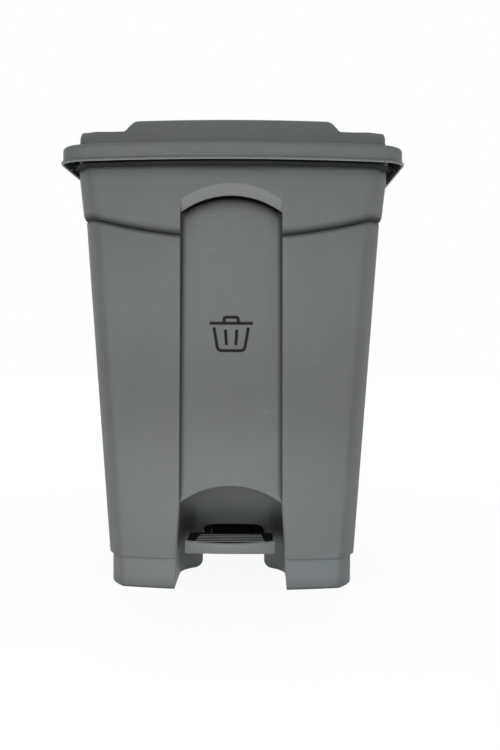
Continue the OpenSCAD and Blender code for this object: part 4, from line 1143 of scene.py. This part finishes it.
def makeArms():    # the arms go back to the hub, and the tail from the hub to the rod's foot
    parts = bmesh.new()
    end, hub, thick = pedal["armEnd"], pedal["hub"], pedal["armThick"]
    root = (pedal["front"] + pedal["bow"] + pedal["armIn"], pedal["rootHeight"])
    neck = (pedal["back"] + pedal["armIn"], pedal["neckHeight"])
    for side in (-1, 1):
        x = side * pedal["armSpan"] / 2
        bar(parts, root, end, neck, end, x, thick)
        bar(parts, neck, end, axle, hub, x, thick - 0.02)    # a hair thinner, so that no two faces coincide
    rod(parts, (0, *axle), hub, 2 * pedal["hubHalf"], pedal["hubSides"])
    rod(parts, (0, *axle), pedal["sleeve"], pedal["sleeveLong"], pedal["hubSides"])
    bar(parts, axle, hub, pedal["lowPin"], end, 0, pedal["tailThick"])
    faceOut(parts)
    return parts


def makePedal():
    bm = bmesh.new()
    top, wall = pedal["top"], pedal["edgeWall"]
    # from inside the edge, round its bottom, up the outside and over on to the tread
    loftSolid(bm, [treadRing(wall, z=top - pedal["thick"]), treadRing(wall, lift=0.4), treadRing(wall - 0.5),
                   treadRing(0.7), treadRing(0.2, lift=0.3), treadRing(0, lift=1), treadRing(0, z=top - 2.4),
                   treadRing(0.3, z=top - 1.3), treadRing(1.0, z=top - 0.5), treadRing(2.2, z=top - 0.1),
                   treadRing(3.4, z=top)])
    faceOut(bm)
    addTreadRibs(bm)
    joinInto(bm, makeArms())
    return bm


# painted shade between and behind the ribs, and painted highlights on their tops
pedalShadeAndLight = {"behind": 8, "gloom": 0.97, "ribFrom": 0.02, "ribFade": 0.25, "ribWear": 0.42,
             "flatLow": 0.05, "rimLow": 0.3, "rimGloom": 0.35}


def pedalMarks(x, y, z):
    painted, above = pedalShadeAndLight, z - pedal["top"]
    if y > pedal["back"] + painted["behind"]:
        return painted["gloom"], 0
    if above > painted["ribFrom"]:
        return (painted["gloom"] * (1 - ease(above / painted["ribFade"])),
                painted["ribWear"] * ease((above - painted["ribFrom"]) / painted["ribFade"]))
    if above > -painted["flatLow"]:
        return painted["gloom"], 0
    return painted["rimGloom"] if above > -painted["rimLow"] else 0, 0


# the small hardware keeps its own mesh, with its edges softened
hardware = {"soft": 0.35, "softScrews": 0.2, "sharpAngle": 35, "flatAngle": 0.5, "merge": 0.001}


def softened(name):
    bm = bmesh.new()
    bm.from_mesh(nodes[name].data)
    bmesh.ops.scale(bm, vec=(1 / mm, 1 / mm, 1 / mm), verts=bm.verts)
    bmesh.ops.remove_doubles(bm, verts=bm.verts, dist=hardware["merge"])
    bmesh.ops.dissolve_limit(bm, angle_limit=radians(hardware["flatAngle"]), verts=bm.verts, edges=bm.edges)
    sharp = radians(hardware["sharpAngle"])
    edges = [e for e in bm.edges if len(e.link_faces) == 2 and e.calc_face_angle(0) > sharp]
    width = hardware["softScrews" if "screw" in name or "pin" in name else "soft"]
    roundEdges(bm, edges, width, 2, clamp_overlap=True)
    return bm


plastic, metal = moulding(), wornMetal()
greyColour = (0.150, 0.163, 0.159, 1)
greyPlastic = finish("greyPlastic", plastic, {"Colour": greyColour, "Roughness": 0.46, "Grain": 0.3,
                                              "Scuffs": 0.22, "Recess": 0.6}, specular=0.2)
# a shaded copy of the grey plastic, for faces deep in painted shade
shadedGrey = finish("dullGreyPlastic", plastic, {"Colour": greyColour, "Roughness": 0.8, "Grain": 0.3,
                                               "Scuffs": 0.0, "Recess": 1.0}, specular=0.05)
paleGrey = finish("paleGreyPlastic", plastic, {"Colour": (0.166, 0.182, 0.181, 1), "Roughness": 0.48,
                                               "Grain": 0.3, "Scuffs": 0.3, "Recess": 0.5}, specular=0.2)
darkPlastic = finish("darkPlastic", plastic, {"Colour": (0.028, 0.029, 0.030, 1), "Roughness": 0.48,
                                              "Grain": 0.25, "Scuffs": 0.15, "Recess": 0.5})
rubber = finish("rubber", plastic, {"Colour": (0.019, 0.019, 0.020, 1), "Roughness": 0.78, "Grain": 0.6,
                                    "Scuffs": 0.05, "Recess": 0.5}, specular=0.3)
printInk = finish("printInk", plastic, {"Colour": (0.009, 0.009, 0.008, 1), "Roughness": 0.6, "Grain": 0.2,
                                        "Scuffs": 0.2, "Recess": 0.0}, specular=0.12)
steel = finish("steel", metal, {"Colour": (0.56, 0.57, 0.58, 1), "Roughness": 0.33, "Brushing": 0.3}, 1.0)
finishes = {"grey_plastic": greyPlastic, "steel": steel, "dark_plastic": darkPlastic, "rubber": rubber}
print("finishes made:", ", ".join(material.name for material in bpy.data.materials))

moulded = [greyPlastic, shadedGrey]
# name, mesh, finishes, body, the nodes it stands for, and where shade and highlights are painted
finishPiece("tubShell", cutTub(makeTub()), moulded, "bin", ["tub"], tubMarks)
finishPiece("panelSign", makeSign(), [printInk], "bin")
finishPiece("plinthShell", makePlinth(), [paleGrey], "bin", ["base_plinth"])
finishPiece("lidShell", makeLid(), moulded, "lid", ["lid"], lidMarks)
finishPiece("pedalShell", makePedal(), moulded, "pedal", ["pedal"], pedalMarks)
record = frame["record"]
slotOf = {item["node"]: item["material_slot"] for item in record["subparts"]}
bodyOf = {name: body for body, names in record["behaviour"]["bodies"].items() for name in names}
dressed = ("tub", "base_plinth", "lid", "pedal")
for name, node in nodes.items():
    node.data.materials.clear()
    node.data.materials.append(finishes[slotOf[name]])
    if name not in dressed:
        words = name.split("_")
        pieceName = words[0] + "".join(word.title() for word in words[1:])
        finishPiece(pieceName, softened(name), [finishes[slotOf[name]]], bodyOf[name], [name])

addStage()
addCamera()
bpy.context.scene.view_settings.view_transform = "Standard"
